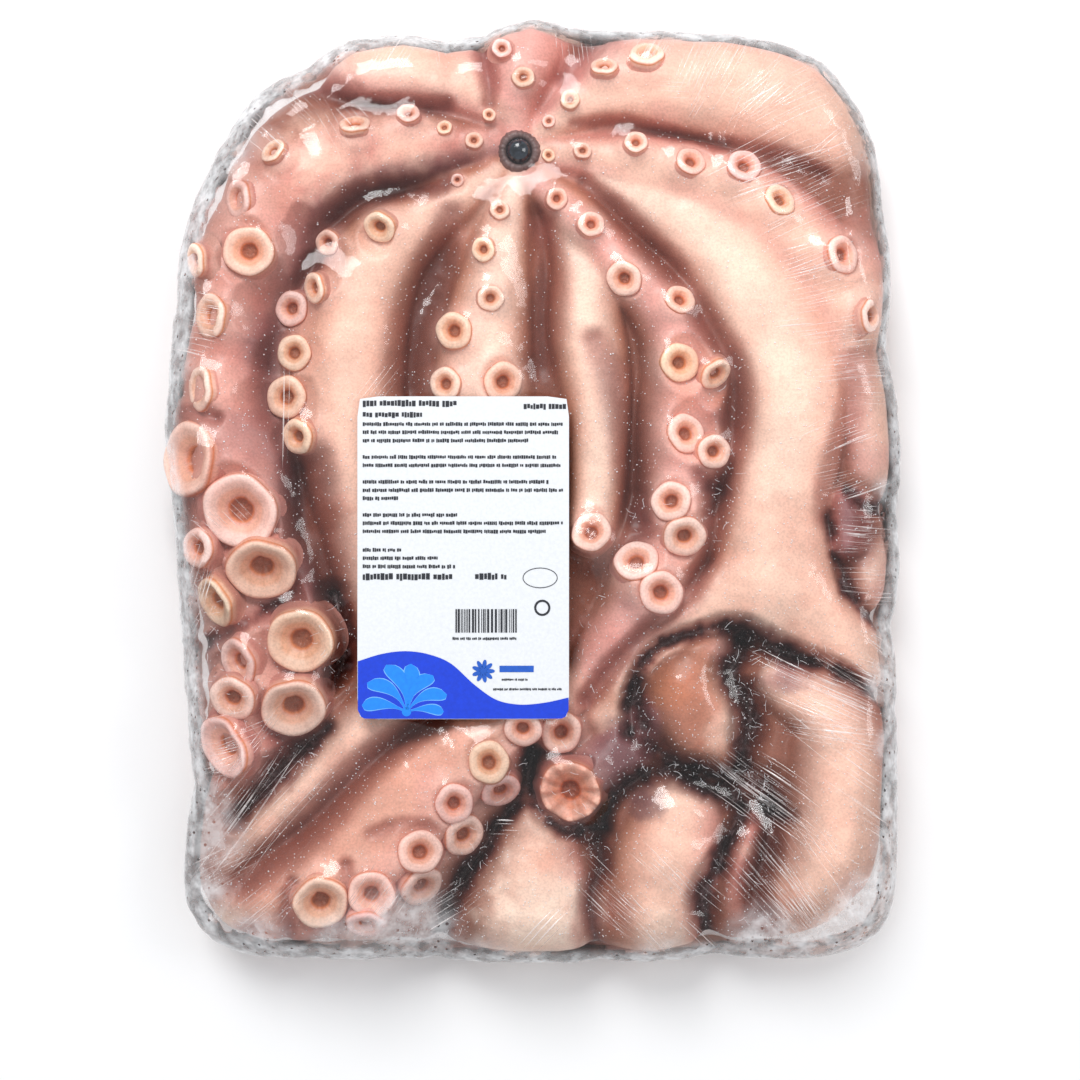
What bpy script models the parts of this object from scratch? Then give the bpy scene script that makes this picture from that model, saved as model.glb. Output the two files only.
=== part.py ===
"""A whole raw octopus, cleaned, frozen flat as a block and wrapped tight in clear film, with a label.

It lies on its flat underside with the mouth and the suckers up. +Y is the mouth's end and +Z is up.
Nodes: wrapped_octopus (the animal with the film drawn over it, one solid), beak and label.
"""

import math

import bmesh
import bpy
import numpy as np

MM = 0.001

# Driving dimensions
LENGTH = 450 * MM
WIDTH = 352 * MM
THICKNESS = 60 * MM

LABEL_WIDTH = 99 * MM
LABEL_LENGTH = 151 * MM
LABEL_SHEET = 0.4 * MM
LABEL_CORNER = 4 * MM
LABEL_LEVEL = 57 * MM
LABEL_CENTRE = (-0.0910 * WIDTH, -0.0700 * LENGTH)

BEAK_RADIUS = 6.2 * MM
MOUTH = (-6 * MM, 160 * MM)
MOUTH_LEVEL = 44 * MM

GAP = 0.3 * MM

# The rolled edge of the block
ROLL_IN = 22 * MM
UNDER_ROLL_IN = 17 * MM
EQUATOR = 0.42 * THICKNESS
EDGE_CREST = 50 * MM
EDGE_DENT = 0.25
SIDE_RINGS = 3

# The film bridges the gaps between the arms, so they are no deeper than this level
VALLEY = 43 * MM
CREST_SHARE = 0.96
WEB_REACH = 75 * MM

CELLS_ACROSS = 50
CELLS_ALONG = 64
ROLL_START = 0.88
SMOOTHING = 0.5

# Each arm or lobe: how round its back is, then its route as places (x, y), half widths and
# crest heights, in millimetres from the middle of the block. All start near the mouth.
ARMS = {
    "top_left": (0.75, ((-12, 178, 7, 50), (-34, 192, 13, 54), (-60, 199, 17, 56), (-90, 201, 17, 54),
                        (-118, 195, 15, 44))),
    "top": (0.75, ((-8, 172, 7, 50), (-8, 192, 14, 55), (-3, 212, 20, 52))),
    "top_right": (0.55, ((8, 172, 6, 50), (34, 187, 14, 54), (62, 192, 22, 56), (95, 190, 28, 55),
                         (130, 178, 28, 54), (158, 160, 18, 46))),
    "right": (0.7, ((7, 160, 7, 50), (46, 156, 12, 54), (85, 146, 17, 57), (121, 124, 20, 57),
                    (147, 92, 21, 54), (160, 50, 18, 51), (163, 12, 14, 48))),
    "web_right": (0.4, ((34, 146, 10, 50), (78, 124, 24, 55), (105, 90, 31, 57), (120, 50, 30, 57),
                        (118, 18, 28, 57), (113, -12, 28, 56), (113, -42, 31, 55))),
    "fork_left": (0.7, ((104, -42, 22, 55), (78, -57, 13, 54), (56, -72, 10, 52), (43, -88, 10, 50),
                        (37, -106, 11, 48))),
    "fork_right": (0.7, ((118, -44, 25, 55), (140, -65, 17, 53), (160, -84, 14, 50), (172, -97, 10, 45))),
    "centre_right": (0.75, ((0, 148, 7, 50), (22, 128, 12, 55), (44, 106, 14, 58), (62, 86, 17, 59),
                            (72, 62, 21, 60), (72, 28, 24, 60), (70, -4, 22, 58), (61, -32, 22, 57),
                            (50, -54, 18, 55), (35, -74, 14, 52), (24, -92, 11, 49))),
    "centre_flank": (0.6, ((14, 130, 8, 50), (24, 104, 15, 55), (26, 76, 18, 57), (31, 44, 16, 57),
                           (31, 10, 14, 56), (28, -14, 12, 55))),
    "centre": (0.6, ((-8, 146, 7, 50), (-14, 118, 13, 55), (-20, 84, 20, 58), (-24, 40, 25, 57),
                     (-24, -20, 26, 56), (-15, -70, 24, 54))),
    "centre_left": (0.55, ((-20, 148, 6, 50), (-46, 132, 13, 54), (-70, 112, 21, 57), (-82, 85, 25, 59),
                           (-86, 52, 27, 59), (-85, 15, 25, 57), (-80, -20, 20, 53), (-76, -55, 15, 48))),
    "left": (0.65, ((-20, 166, 6, 48), (-46, 164, 14, 53), (-74, 162, 20, 56), (-100, 153, 25, 57),
                    (-122, 132, 27, 57), (-136, 100, 28, 56), (-142, 62, 25, 55), (-140, 22, 29, 56),
                    (-135, -18, 28, 57), (-124, -58, 28, 57), (-121, -94, 26, 55), (-138, -126, 20, 48))),
    "lower_brown": (0.7, ((-40, -85, 15, 50), (-66, -102, 18, 51), (-92, -127, 19, 51),
                          (-116, -150, 18, 49), (-140, -172, 14, 42))),
    "lower_left": (0.65, ((22, -92, 12, 50), (-4, -104, 17, 54), (-32, -122, 21, 58), (-62, -149, 26, 59),
                          (-90, -174, 25, 57), (-118, -190, 21, 53), (-144, -200, 15, 46))),
    "bottom_bulb": (0.6, ((4, -165, 20, 52), (0, -185, 31, 56), (-4, -212, 32, 52))),
    "curled_tip": (1.0, ((52, -108, 13, 50), (42, -124, 16, 53), (27, -136, 14, 55), (18, -141, 15, 56))),
    "brown_lobe": (0.7, ((80, -80, 15, 50), (75, -96, 20, 54), (80, -114, 17, 53), (88, -126, 10, 48))),
    "pink_lobe": (0.6, ((68, -158, 23, 54), (64, -177, 27, 56), (58, -207, 24, 50))),
    "small_lobe": (1.0, ((106, -156, 7, 46), (100, -172, 9, 48), (96, -192, 10, 44), (94, -212, 9, 40))),
    "lower_right": (0.55, ((120, -92, 14, 49), (141, -106, 22, 54), (147, -138, 27, 56),
                           (141, -172, 27, 56), (122, -205, 22, 48))),
    "right_knot": (0.8, ((149, -6, 8, 50), (148, -24, 8, 50))),
    "right_lobe": (0.9, ((165, -28, 10, 46), (163, -44, 15, 49), (166, -58, 9, 44))),
}

# The larger suckers: places (x, y) and diameters in millimetres
SUCKERS = (
    (-137, -10, 34), (-127, -38, 31), (-109, -71, 30), (-112, -103, 29), (-139, 137, 18), (-133, 112, 23),
    (-159, 108, 15), (-152, 82, 20), (-157, 48, 20), (-163, 15, 35), (-158, -27, 19), (-150, -53, 23),
    (-139, -81, 22), (-141, -98, 21), (-146, -121, 29), (-83, 173, 14), (-72, 123, 15), (-103, 95, 14),
    (-114, 86, 16), (-112, 65, 16), (-116, 44, 19), (-111, 25, 17), (-37, 75, 17), (-41, 50, 15),
    (-13, 51, 18), (43, 99, 16), (70, 90, 14), (70, 60, 18), (87, 54, 15), (73, 27, 18), (86, 18, 16),
    (65, -5, 18), (72, -22, 19), (28, -19, 18), (49, -32, 20), (61, -48, 20), (75, 155, 14),
    (100, 153, 16), (117, 137, 15), (147, 111, 18), (163, 82, 17), (54, 206, 16), (-20, -127, 19),
    (-14, -142, 18), (-36, -147, 18), (-31, -163, 20), (-52, -169, 20), (-51, -187, 20), (-75, -190, 22),
    (-99, -194, 25), (-78, -205, 18), (-142, -200, 17), (14, -114, 19), (-4, -112, 17), (18, -141, 27),
)
SUCKER_RISE = 0.2

# Where the outline draws in from a smooth one, and by how much: angle in degrees, millimetres
DRAWN_IN = (
    (-180, 4), (-173, 5), (-160, 10), (-151, 12), (-145, 14), (-139, 16), (-134, 7), (-130, -1), (-125, -2),
    (-115, 0), (-105, 2), (-85, 0), (-76, 2), (-70, 4), (-62, 0), (-50, -2), (-42, 2), (-30, 1), (-21, 5),
    (-10, 0), (4, 0), (15, 2), (22, 6), (32, 4), (39, 5), (45, 0), (56, -3), (62, 1), (70, 5), (78, 5),
    (84, 3), (90, 0), (97, 8), (101, 10), (106, 4), (112, 3), (118, 7), (125, 3), (131, 6), (139, 5),
    (152, 6), (161, 2), (172, 0),
)


def blend(low, high, value):
    """0 below low, 1 above high, and smooth between."""
    share = np.clip((value - low) / (high - low), 0.0, 1.0)
    return share * share * (3.0 - 2.0 * share)


def soft_max(first, second, softness):
    """The larger of two heights, with the corner between them rounded by softness."""
    share = np.clip(0.5 + 0.5 * (first - second) / softness, 0.0, 1.0)
    return second + (first - second) * share + softness * share * (1.0 - share)


def smooth_route(points, step=4 * MM):
    """A Catmull-Rom curve through the points, read about every step; each point keeps all its numbers."""
    points = np.array(points, float) * MM
    padded = np.vstack((2 * points[0] - points[1], points, 2 * points[-1] - points[-2]))
    read = []
    for index in range(1, len(points)):
        a, b, c, d = padded[index - 1 : index + 3]
        count = max(2, int(np.linalg.norm(c[:2] - b[:2]) / step))
        for share in np.arange(count) / count:
            cubic = (2 * a - 5 * b + 4 * c - d) * share**2 + (3 * b - a - 3 * c + d) * share**3
            read.append(0.5 * (2 * b + (c - a) * share + cubic))
    read.append(points[-1])
    return np.array(read)


def arm_height(x, y, roundness, route):
    """Height of one arm over the places x, y: a round back that drops steeply past its edge."""
    route = smooth_route(route)
    distance2 = (x[:, None] - route[:, 0]) ** 2 + (y[:, None] - route[:, 1]) ** 2
    nearest = distance2.argmin(axis=1)
    distance = np.sqrt(distance2[np.arange(len(x)), nearest])
    half_width = route[nearest, 2]
    share = np.clip(distance / half_width, 0.0, 1.0)
    drop = roundness * half_width * (1.0 - np.sqrt(1.0 - share**2))
    return CREST_SHARE * route[nearest, 3] - drop - 4.0 * np.maximum(distance - half_width, 0.0)


def label_level(x, y):
    """Height of the label's upper face: it bends gently over the arms below it."""
    across = (x - LABEL_CENTRE[0]) / LABEL_WIDTH
    along = (y - LABEL_CENTRE[1]) / LABEL_LENGTH
    bow = 1.1 * MM * (2 * across) ** 2 + 0.7 * MM * (2 * along) ** 2
    return LABEL_LEVEL - bow + 0.2 * MM * np.sin(7.0 * along + 2.0 * across)


def block_height(x, y):
    """Height of the wrapped octopus over places on its upper side."""
    height = np.full(len(x), VALLEY)
    mouth_distance = np.hypot(x - MOUTH[0], y - MOUTH[1])
    softness = MM * (2.5 + 7.0 * (1.0 - blend(0.3 * WEB_REACH, WEB_REACH, mouth_distance)))
    for roundness, route in ARMS.values():
        height = soft_max(arm_height(x, y, roundness, route), height, softness)
    for sucker in SUCKERS:
        sucker_x, sucker_y, diameter = (value * MM for value in sucker)
        share = np.clip(np.hypot(x - sucker_x, y - sucker_y) / (0.6 * diameter), 0.0, 1.0)
        height = height + SUCKER_RISE * diameter * (1.0 - share**2) ** 2
    rise_from_mouth = blend(1.5 * BEAK_RADIUS, 5 * BEAK_RADIUS, mouth_distance)
    height = MOUTH_LEVEL + (height - MOUTH_LEVEL) * rise_from_mouth
    past_side = np.abs(x - LABEL_CENTRE[0]) - LABEL_WIDTH / 2
    past_end = np.abs(y - LABEL_CENTRE[1]) - LABEL_LENGTH / 2
    below_label = label_level(x, y) - LABEL_SHEET - GAP
    height = np.minimum(height, THICKNESS)
    return below_label + (height - below_label) * blend(8 * MM, 18 * MM, np.maximum(past_side, past_end))


def outline(angle):
    """The block's outline from above: squarer at its foot than at the mouth's end, a little uneven."""
    right = blend(-1.0, 1.0, np.cos(angle))
    top = blend(-1.0, 1.0, np.sin(angle))
    power = (7.0 + 3.0 * right) * (1.0 - top) + (3.0 + 1.0 * right) * top
    sides = np.abs(np.cos(angle) / (WIDTH / 2)) ** power + np.abs(np.sin(angle) / (LENGTH / 2)) ** power
    uneven_by = 1.5 * MM * np.sin(9.0 * angle + 1.0) * np.sin(4.0 * angle)
    degrees, drawn_in = np.array(DRAWN_IN, float).T
    pulled_in = MM * np.interp(np.degrees(angle), degrees, drawn_in, period=360.0)
    return sides ** (-1.0 / power) + uneven_by - pulled_in


def block_place(u, v):
    """Places on the outer skin for grid numbers u, v from -1 to 1: x, y, z and the share of the roll."""
    ring = np.maximum(np.abs(u), np.abs(v))
    inner_a, inner_b = WIDTH / 2 - ROLL_IN, LENGTH / 2 - ROLL_IN
    angle = np.arctan2(v * inner_b, u * inner_a)
    rim = outline(angle)
    inside = np.minimum(ring / ROLL_START, 1.0)
    square = np.hypot(u * inner_a, v * inner_b) / np.maximum(ring, 1e-9)
    radius = inside * (square + (rim - ROLL_IN - square) * inside**3)
    turn = np.clip((ring - ROLL_START) / (1.0 - ROLL_START), 0.0, 1.0) * math.pi / 2
    probe = radius + 0.5 * ROLL_IN * np.sin(turn)
    height = block_height(probe * np.cos(angle), probe * np.sin(angle))
    dent = EDGE_DENT * np.maximum(EDGE_CREST - height, 0.0) * np.sin(turn)
    radius = radius + ROLL_IN * np.sin(turn) - dent
    return radius * np.cos(angle), radius * np.sin(angle), EQUATOR + (height - EQUATOR) * np.cos(turn)


def coordinates(vertices):
    return np.array([vertex.co for vertex in vertices])


def place(vertices, points):
    for vertex, point in zip(vertices, points):
        vertex.co = point


def make_material(name, colour, roughness):
    material = bpy.data.materials.new(name)
    material.use_nodes = True
    shader = material.node_tree.nodes["Principled BSDF"]
    shader.inputs["Base Color"].default_value = (*colour, 1.0)
    shader.inputs["Roughness"].default_value = roughness
    shader.inputs["Metallic"].default_value = 0.0
    return material


def add_object(name, mesh_maker, collection, material):
    mesh = bpy.data.meshes.new(name)
    form = bmesh.new()
    mesh_maker(form)
    bmesh.ops.recalc_face_normals(form, faces=form.faces)
    form.to_mesh(mesh)
    form.free()
    mesh.shade_smooth()
    made = bpy.data.objects.new(name, mesh)
    collection.objects.link(made)
    if material:
        mesh.materials.append(material)
    return made


def stretch_to_thickness(vertices):
    """Whatever stands above the label is stretched so that the highest place is THICKNESS high."""
    points = coordinates(vertices)
    above = np.maximum(points[:, 2] - LABEL_LEVEL, 0.0)
    points[:, 2] += above * ((THICKNESS - LABEL_LEVEL) / above.max() - 1.0)
    place(vertices, points)


def model_block(form):
    """Upper skin from a grid, then the lower roll ring by ring, then one flat face underneath."""
    bmesh.ops.create_grid(form, x_segments=CELLS_ACROSS, y_segments=CELLS_ALONG, size=1.0)
    grid = coordinates(form.verts)
    x, y, z = block_place(grid[:, 0], grid[:, 1])
    x = x * (WIDTH / (x.max() - x.min()))
    y = y * (LENGTH / (y.max() - y.min()))
    x = x - (x.max() + x.min()) / 2
    y = y - (y.max() + y.min()) / 2
    place(form.verts, np.column_stack((x, y, z)))
    inner = [vertex for vertex in form.verts if not vertex.is_boundary]
    bmesh.ops.smooth_vert(form, verts=inner, factor=SMOOTHING, use_axis_z=True)
    stretch_to_thickness(form.verts)
    rim = [edge for edge in form.edges if edge.is_boundary]
    for ring in range(1, SIDE_RINGS + 1):
        turn = math.pi / 2 * ring / SIDE_RINGS
        last = math.pi / 2 * (ring - 1) / SIDE_RINGS
        made = bmesh.ops.extrude_edge_only(form, edges=rim)["geom"]
        lower = [item for item in made if isinstance(item, bmesh.types.BMVert)]
        rim = [item for item in made if isinstance(item, bmesh.types.BMEdge) and item.is_boundary]
        points = coordinates(lower)
        length = np.hypot(points[:, 0], points[:, 1])
        inward = UNDER_ROLL_IN * (math.cos(last) - math.cos(turn))
        points[:, :2] *= ((length - inward) / length)[:, None]
        points[:, 2] = EQUATOR * (1.0 - math.sin(turn))
        place(lower, points)
    bmesh.ops.edgeloop_fill(form, edges=rim)


def model_ball(form, radius):
    bmesh.ops.create_uvsphere(form, u_segments=20, v_segments=12, radius=radius)


def model_label(form):
    """A thin sheet with rounded corners, bent over the block."""
    bmesh.ops.create_grid(form, x_segments=10, y_segments=16, size=0.5)
    points = coordinates(form.verts)[:, :2] * (LABEL_WIDTH, LABEL_LENGTH)
    corner = np.array((LABEL_WIDTH / 2 - LABEL_CORNER, LABEL_LENGTH / 2 - LABEL_CORNER))
    past = np.maximum(np.abs(points) - corner, 0.0)
    length = np.maximum(np.hypot(past[:, 0], past[:, 1]), 1e-9)
    past *= (past.max(axis=1) / length)[:, None]
    points = np.sign(points) * (np.minimum(np.abs(points), corner) + past)
    x, y = (points + LABEL_CENTRE).T
    place(form.verts, np.column_stack((x, y, label_level(x, y))))
    sheet = bmesh.ops.extrude_face_region(form, geom=form.faces[:])["geom"]
    lower = [item for item in sheet if isinstance(item, bmesh.types.BMVert)]
    bmesh.ops.translate(form, verts=lower, vec=(0.0, 0.0, -LABEL_SHEET))


def make_collection(name):
    collection = bpy.data.collections.new(name)
    bpy.context.scene.collection.children.link(collection)
    return collection


def main():
    for old in list(bpy.data.objects):
        bpy.data.objects.remove(old)
    pack = make_collection("whole_octopus")
    cutters = make_collection("cutters")

    flesh = make_material("raw_flesh_under_film", (0.48, 0.25, 0.20), 0.25)
    paper = make_material("label_paper", (0.86, 0.88, 0.91), 0.45)
    horn = make_material("dark_beak", (0.012, 0.016, 0.022), 0.15)

    block = add_object("wrapped_octopus", model_block, pack, flesh)
    mouth_place = (*MOUTH, MOUTH_LEVEL)

    socket = add_object("mouth_socket", lambda form: model_ball(form, BEAK_RADIUS + GAP), cutters, None)
    socket.location = mouth_place
    socket.hide_render = True
    socket.display_type = "WIRE"
    cut = block.modifiers.new("mouth_socket", "BOOLEAN")
    cut.operation = "DIFFERENCE"
    cut.object = socket

    beak = add_object("beak", lambda form: model_ball(form, BEAK_RADIUS), pack, horn)
    beak.location = mouth_place

    add_object("label", model_label, pack, paper)


main()
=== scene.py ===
"""Looks of a whole raw octopus, frozen flat as a block and wrapped tight in clear film with a label.

Lengths in the tables are millimetres of a 352 x 450 block, from its middle, and UNIT turns them
into the frame's metres. The block lies with its mouth's end towards +Y and its suckers up.
"""

import math
import random

import bmesh
import bpy
import numpy as np
from mathutils import Matrix, Vector, noise
from mathutils.bvhtree import BVHTree


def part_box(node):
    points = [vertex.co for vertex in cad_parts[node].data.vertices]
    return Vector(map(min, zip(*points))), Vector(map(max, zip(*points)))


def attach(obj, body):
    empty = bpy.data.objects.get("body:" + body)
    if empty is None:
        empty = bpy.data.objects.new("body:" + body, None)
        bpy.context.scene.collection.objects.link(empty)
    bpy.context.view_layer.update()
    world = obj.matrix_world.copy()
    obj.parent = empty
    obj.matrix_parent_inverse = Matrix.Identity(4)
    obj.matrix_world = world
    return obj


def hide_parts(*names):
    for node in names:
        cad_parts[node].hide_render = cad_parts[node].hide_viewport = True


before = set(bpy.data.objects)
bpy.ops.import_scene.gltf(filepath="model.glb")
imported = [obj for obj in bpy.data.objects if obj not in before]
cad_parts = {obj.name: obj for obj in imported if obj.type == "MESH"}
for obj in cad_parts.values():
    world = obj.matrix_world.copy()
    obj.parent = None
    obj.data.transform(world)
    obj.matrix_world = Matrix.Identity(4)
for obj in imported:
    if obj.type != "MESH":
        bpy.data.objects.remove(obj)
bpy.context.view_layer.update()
BLOCK_LOW, BLOCK_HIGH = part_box("wrapped_octopus")
LABEL_LOW, LABEL_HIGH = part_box("label")
BEAK_LOW, BEAK_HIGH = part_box("beak")

UNIT = (BLOCK_HIGH.x - BLOCK_LOW.x) / 352.0
WIDTH = BLOCK_HIGH.x - BLOCK_LOW.x
LENGTH = BLOCK_HIGH.y - BLOCK_LOW.y
THICKNESS = BLOCK_HIGH.z
MOUTH = (BEAK_LOW + BEAK_HIGH) / 2
BEAK_RADIUS = (BEAK_HIGH.x - BEAK_LOW.x) / 2
LABEL_CENTRE = (LABEL_LOW + LABEL_HIGH) / 2
LABEL_WIDTH = LABEL_HIGH.x - LABEL_LOW.x
LABEL_LENGTH = LABEL_HIGH.y - LABEL_LOW.y
LABEL_LEVEL = LABEL_HIGH.z

ROLL_IN = 22 * UNIT
ROLL_START = 0.88
EQUATOR = 0.42 * THICKNESS
EDGE_CREST = 50 * UNIT
FLESH_FLOOR = 37 * UNIT
FILM_GAP = 0.5 * UNIT
FLESH_TOP = 57.0 * UNIT
UNDER_LABEL_TOP = 53.5 * UNIT
UNDERSIDE_LEVEL = 1.0 * UNIT
CREST_SHARE = 0.90

SKIN_CELLS = (260, 332)
UNDER_CELLS = (150, 192)
FILM_CELLS = (220, 280)

# Painted shade: what an arm's colour is multiplied by in a soft valley, and further at the bottom of a
# crevice
SOFT_SHADE = (0.42, 0.27, 0.27)
DEEP_SHADE = (0.17, 0.09, 0.09)

# Where the block's outline draws in from a smooth one, by how much, and the flesh inside the film:
# angle round the block in degrees, millimetres
DRAWN_IN = (
    (-180, 4), (-173, 5), (-160, 10), (-151, 12), (-145, 14), (-139, 16), (-134, 7), (-130, -1), (-125, -2),
    (-115, 0), (-105, 2), (-85, 0), (-76, 2), (-70, 4), (-62, 0), (-50, -2), (-42, 2), (-30, 1), (-21, 5),
    (-10, 0), (4, 0), (15, 2), (22, 6), (32, 4), (39, 5), (45, 0), (56, -3), (62, 1), (70, 5), (78, 5),
    (84, 3),
    (90, 0), (97, 8), (101, 10), (106, 4), (112, 3), (118, 7), (125, 3), (131, 6), (139, 5), (152, 6),
    (161, 2),
    (172, 0),
)
INSET = (
    (-180, 5), (-160, 8), (-150, 10), (-140, 9), (-132, 8), (-125, 8), (-110, 8), (-95, 5), (-75, 4),
    (-62, 9), (-52, 20), (-45, 12), (-35, 7), (-25, 8), (-15, 5), (0, 4), (90, 4), (110, 6), (125, 9),
    (140, 10),
    (155, 9), (170, 5),
)

# Skin colours, as eyes see them, 0 to 255
TONES = {
    "pale": (250, 228, 212),
    "cream": (242, 213, 196),
    "web": (236, 200, 182),
    "tan": (226, 176, 156),
    "pink": (228, 174, 164),
    "rose": (206, 142, 130),
    "brown": (190, 130, 106),
    "umber": (152, 98, 80),
    "purple": (160, 112, 112),
    "plum": (126, 84, 86),
    "red": (172, 104, 88),
    "orange": (214, 136, 92),
    "rim": (252, 226, 210),
    "disc": (236, 190, 164),
    "pit": (166, 104, 80),
}

# Each arm or lobe: how round its back is, its colours to the left of its way out from the mouth,
# along its crest and to the right, then its route: places (x, y), half widths and crest heights.
# Their side colours, mostly darker than the crest's, are partly the skin's own and partly painted shade down
# the flanks.
ARMS = {
    "top_left": (0.7, ("pink", "web", "pink"), (
        (-12, 178, 7, 50), (-34, 192, 13, 54), (-60, 199, 17, 56), (-90, 201, 17, 54),
        (-118, 195, 15, 44))),
    "top": (0.75, ("rose", "pink", "rose"), ((-8, 172, 7, 50), (-8, 192, 14, 55), (-3, 212, 20, 52))),
    "top_right": (0.6, ("pink", "web", "tan"), (
        (8, 172, 6, 50), (34, 187, 14, 54), (62, 192, 22, 56), (95, 190, 28, 55), (130, 178, 28, 54),
        (158, 160, 18, 46))),
    "right": (0.75, ("rose", "web", "pink"), (
        (7, 160, 7, 50), (46, 156, 12, 54), (85, 146, 17, 57), (121, 124, 20, 57), (147, 92, 21, 54),
        (160, 50, 18, 51), (163, 12, 14, 48))),
    "web_right": (0.45, ("tan", "cream", "brown"), (
        (34, 146, 10, 50), (78, 124, 24, 55), (105, 90, 31, 57), (120, 50, 30, 57), (118, 18, 28, 57),
        (113, -12, 28, 56), (113, -42, 31, 55))),
    "fork_left": (0.7, ("tan", "web", "tan"), (
        (104, -42, 22, 55), (78, -57, 13, 54), (56, -72, 10, 52), (43, -88, 10, 50), (37, -106, 11, 48))),
    "fork_right": (0.7, ("tan", "web", "tan"), (
        (118, -44, 25, 55), (140, -65, 17, 53), (160, -84, 14, 50), (172, -97, 10, 45))),
    "centre_right": (0.8, ("brown", "pink", "umber"), (
        (0, 148, 7, 50), (22, 128, 12, 55), (44, 106, 14, 58), (62, 86, 17, 59), (72, 62, 21, 60),
        (72, 28, 24, 60), (70, -4, 22, 58), (61, -32, 22, 57), (50, -54, 18, 55), (35, -74, 14, 52),
        (24, -92, 11, 49))),
    "centre_flank": (0.7, ("brown", "cream", "brown"), (
        (14, 130, 8, 50), (24, 104, 15, 55), (26, 76, 18, 57), (31, 44, 16, 57), (31, 10, 14, 56),
        (28, -14, 12, 55))),
    "centre": (0.7, ("brown", "cream", "brown"), (
        (-8, 146, 7, 50), (-14, 118, 13, 55), (-20, 84, 20, 58), (-24, 40, 25, 57), (-24, -20, 26, 56),
        (-15, -70, 24, 54))),
    "centre_left": (0.65, ("brown", "web", "brown"), (
        (-20, 148, 6, 50), (-46, 132, 13, 54), (-70, 112, 21, 57), (-82, 85, 25, 59), (-86, 52, 27, 59),
        (-85, 15, 25, 57), (-80, -20, 20, 53), (-76, -55, 15, 48))),
    "left": (0.75, ("plum", "rose", "umber"), (
        (-20, 166, 6, 48), (-46, 164, 14, 53), (-74, 162, 20, 56), (-100, 153, 25, 57), (-122, 132, 27, 57),
        (-136, 100, 28, 56), (-142, 62, 25, 55), (-140, 22, 29, 56), (-135, -18, 28, 57),
        (-124, -58, 28, 57),
        (-121, -94, 26, 55), (-138, -126, 20, 48))),
    "lower_brown": (0.75, ("umber", "web", "umber"), (
        (-40, -85, 15, 50), (-66, -102, 18, 51), (-92, -127, 19, 51), (-116, -150, 18, 49),
        (-140, -172, 14, 42))),
    "lower_left": (0.7, ("rose", "tan", "brown"), (
        (22, -92, 12, 50), (-4, -104, 17, 54), (-32, -122, 21, 58), (-62, -149, 26, 59),
        (-90, -174, 25, 57),
        (-118, -190, 21, 53), (-144, -200, 15, 46))),
    "bottom_bulb": (0.65, ("rose", "web", "umber"), (
        (4, -165, 20, 52), (0, -185, 31, 56), (-4, -212, 32, 52))),
    "curled_tip": (1.0, ("purple", "plum", "purple"), (
        (52, -108, 13, 50), (42, -124, 16, 53), (27, -136, 14, 55), (18, -141, 15, 56))),
    "brown_lobe": (0.75, ("tan", "brown", "umber"), (
        (80, -80, 15, 50), (75, -96, 20, 54), (80, -114, 17, 53), (88, -126, 10, 48))),
    "pink_lobe": (0.65, ("rose", "web", "brown"), (
        (68, -158, 23, 54), (64, -177, 27, 56), (58, -207, 24, 50))),
    "small_lobe": (1.0, ("umber", "rose", "umber"), (
        (106, -156, 7, 46), (100, -172, 9, 48), (96, -192, 10, 44), (94, -212, 9, 40))),
    "lower_right": (0.55, ("red", "web", "umber"), (
        (120, -92, 14, 49), (141, -106, 22, 54), (147, -138, 27, 56), (141, -172, 27, 56),
        (122, -205, 22, 48))),
    "right_knot": (0.8, ("rose", "purple", "rose"), ((149, -6, 8, 50), (148, -24, 8, 50))),
    "right_lobe": (0.9, ("tan", "pink", "web"), ((165, -28, 10, 46), (163, -44, 15, 49), (166, -58, 9, 44))),
}
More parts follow.
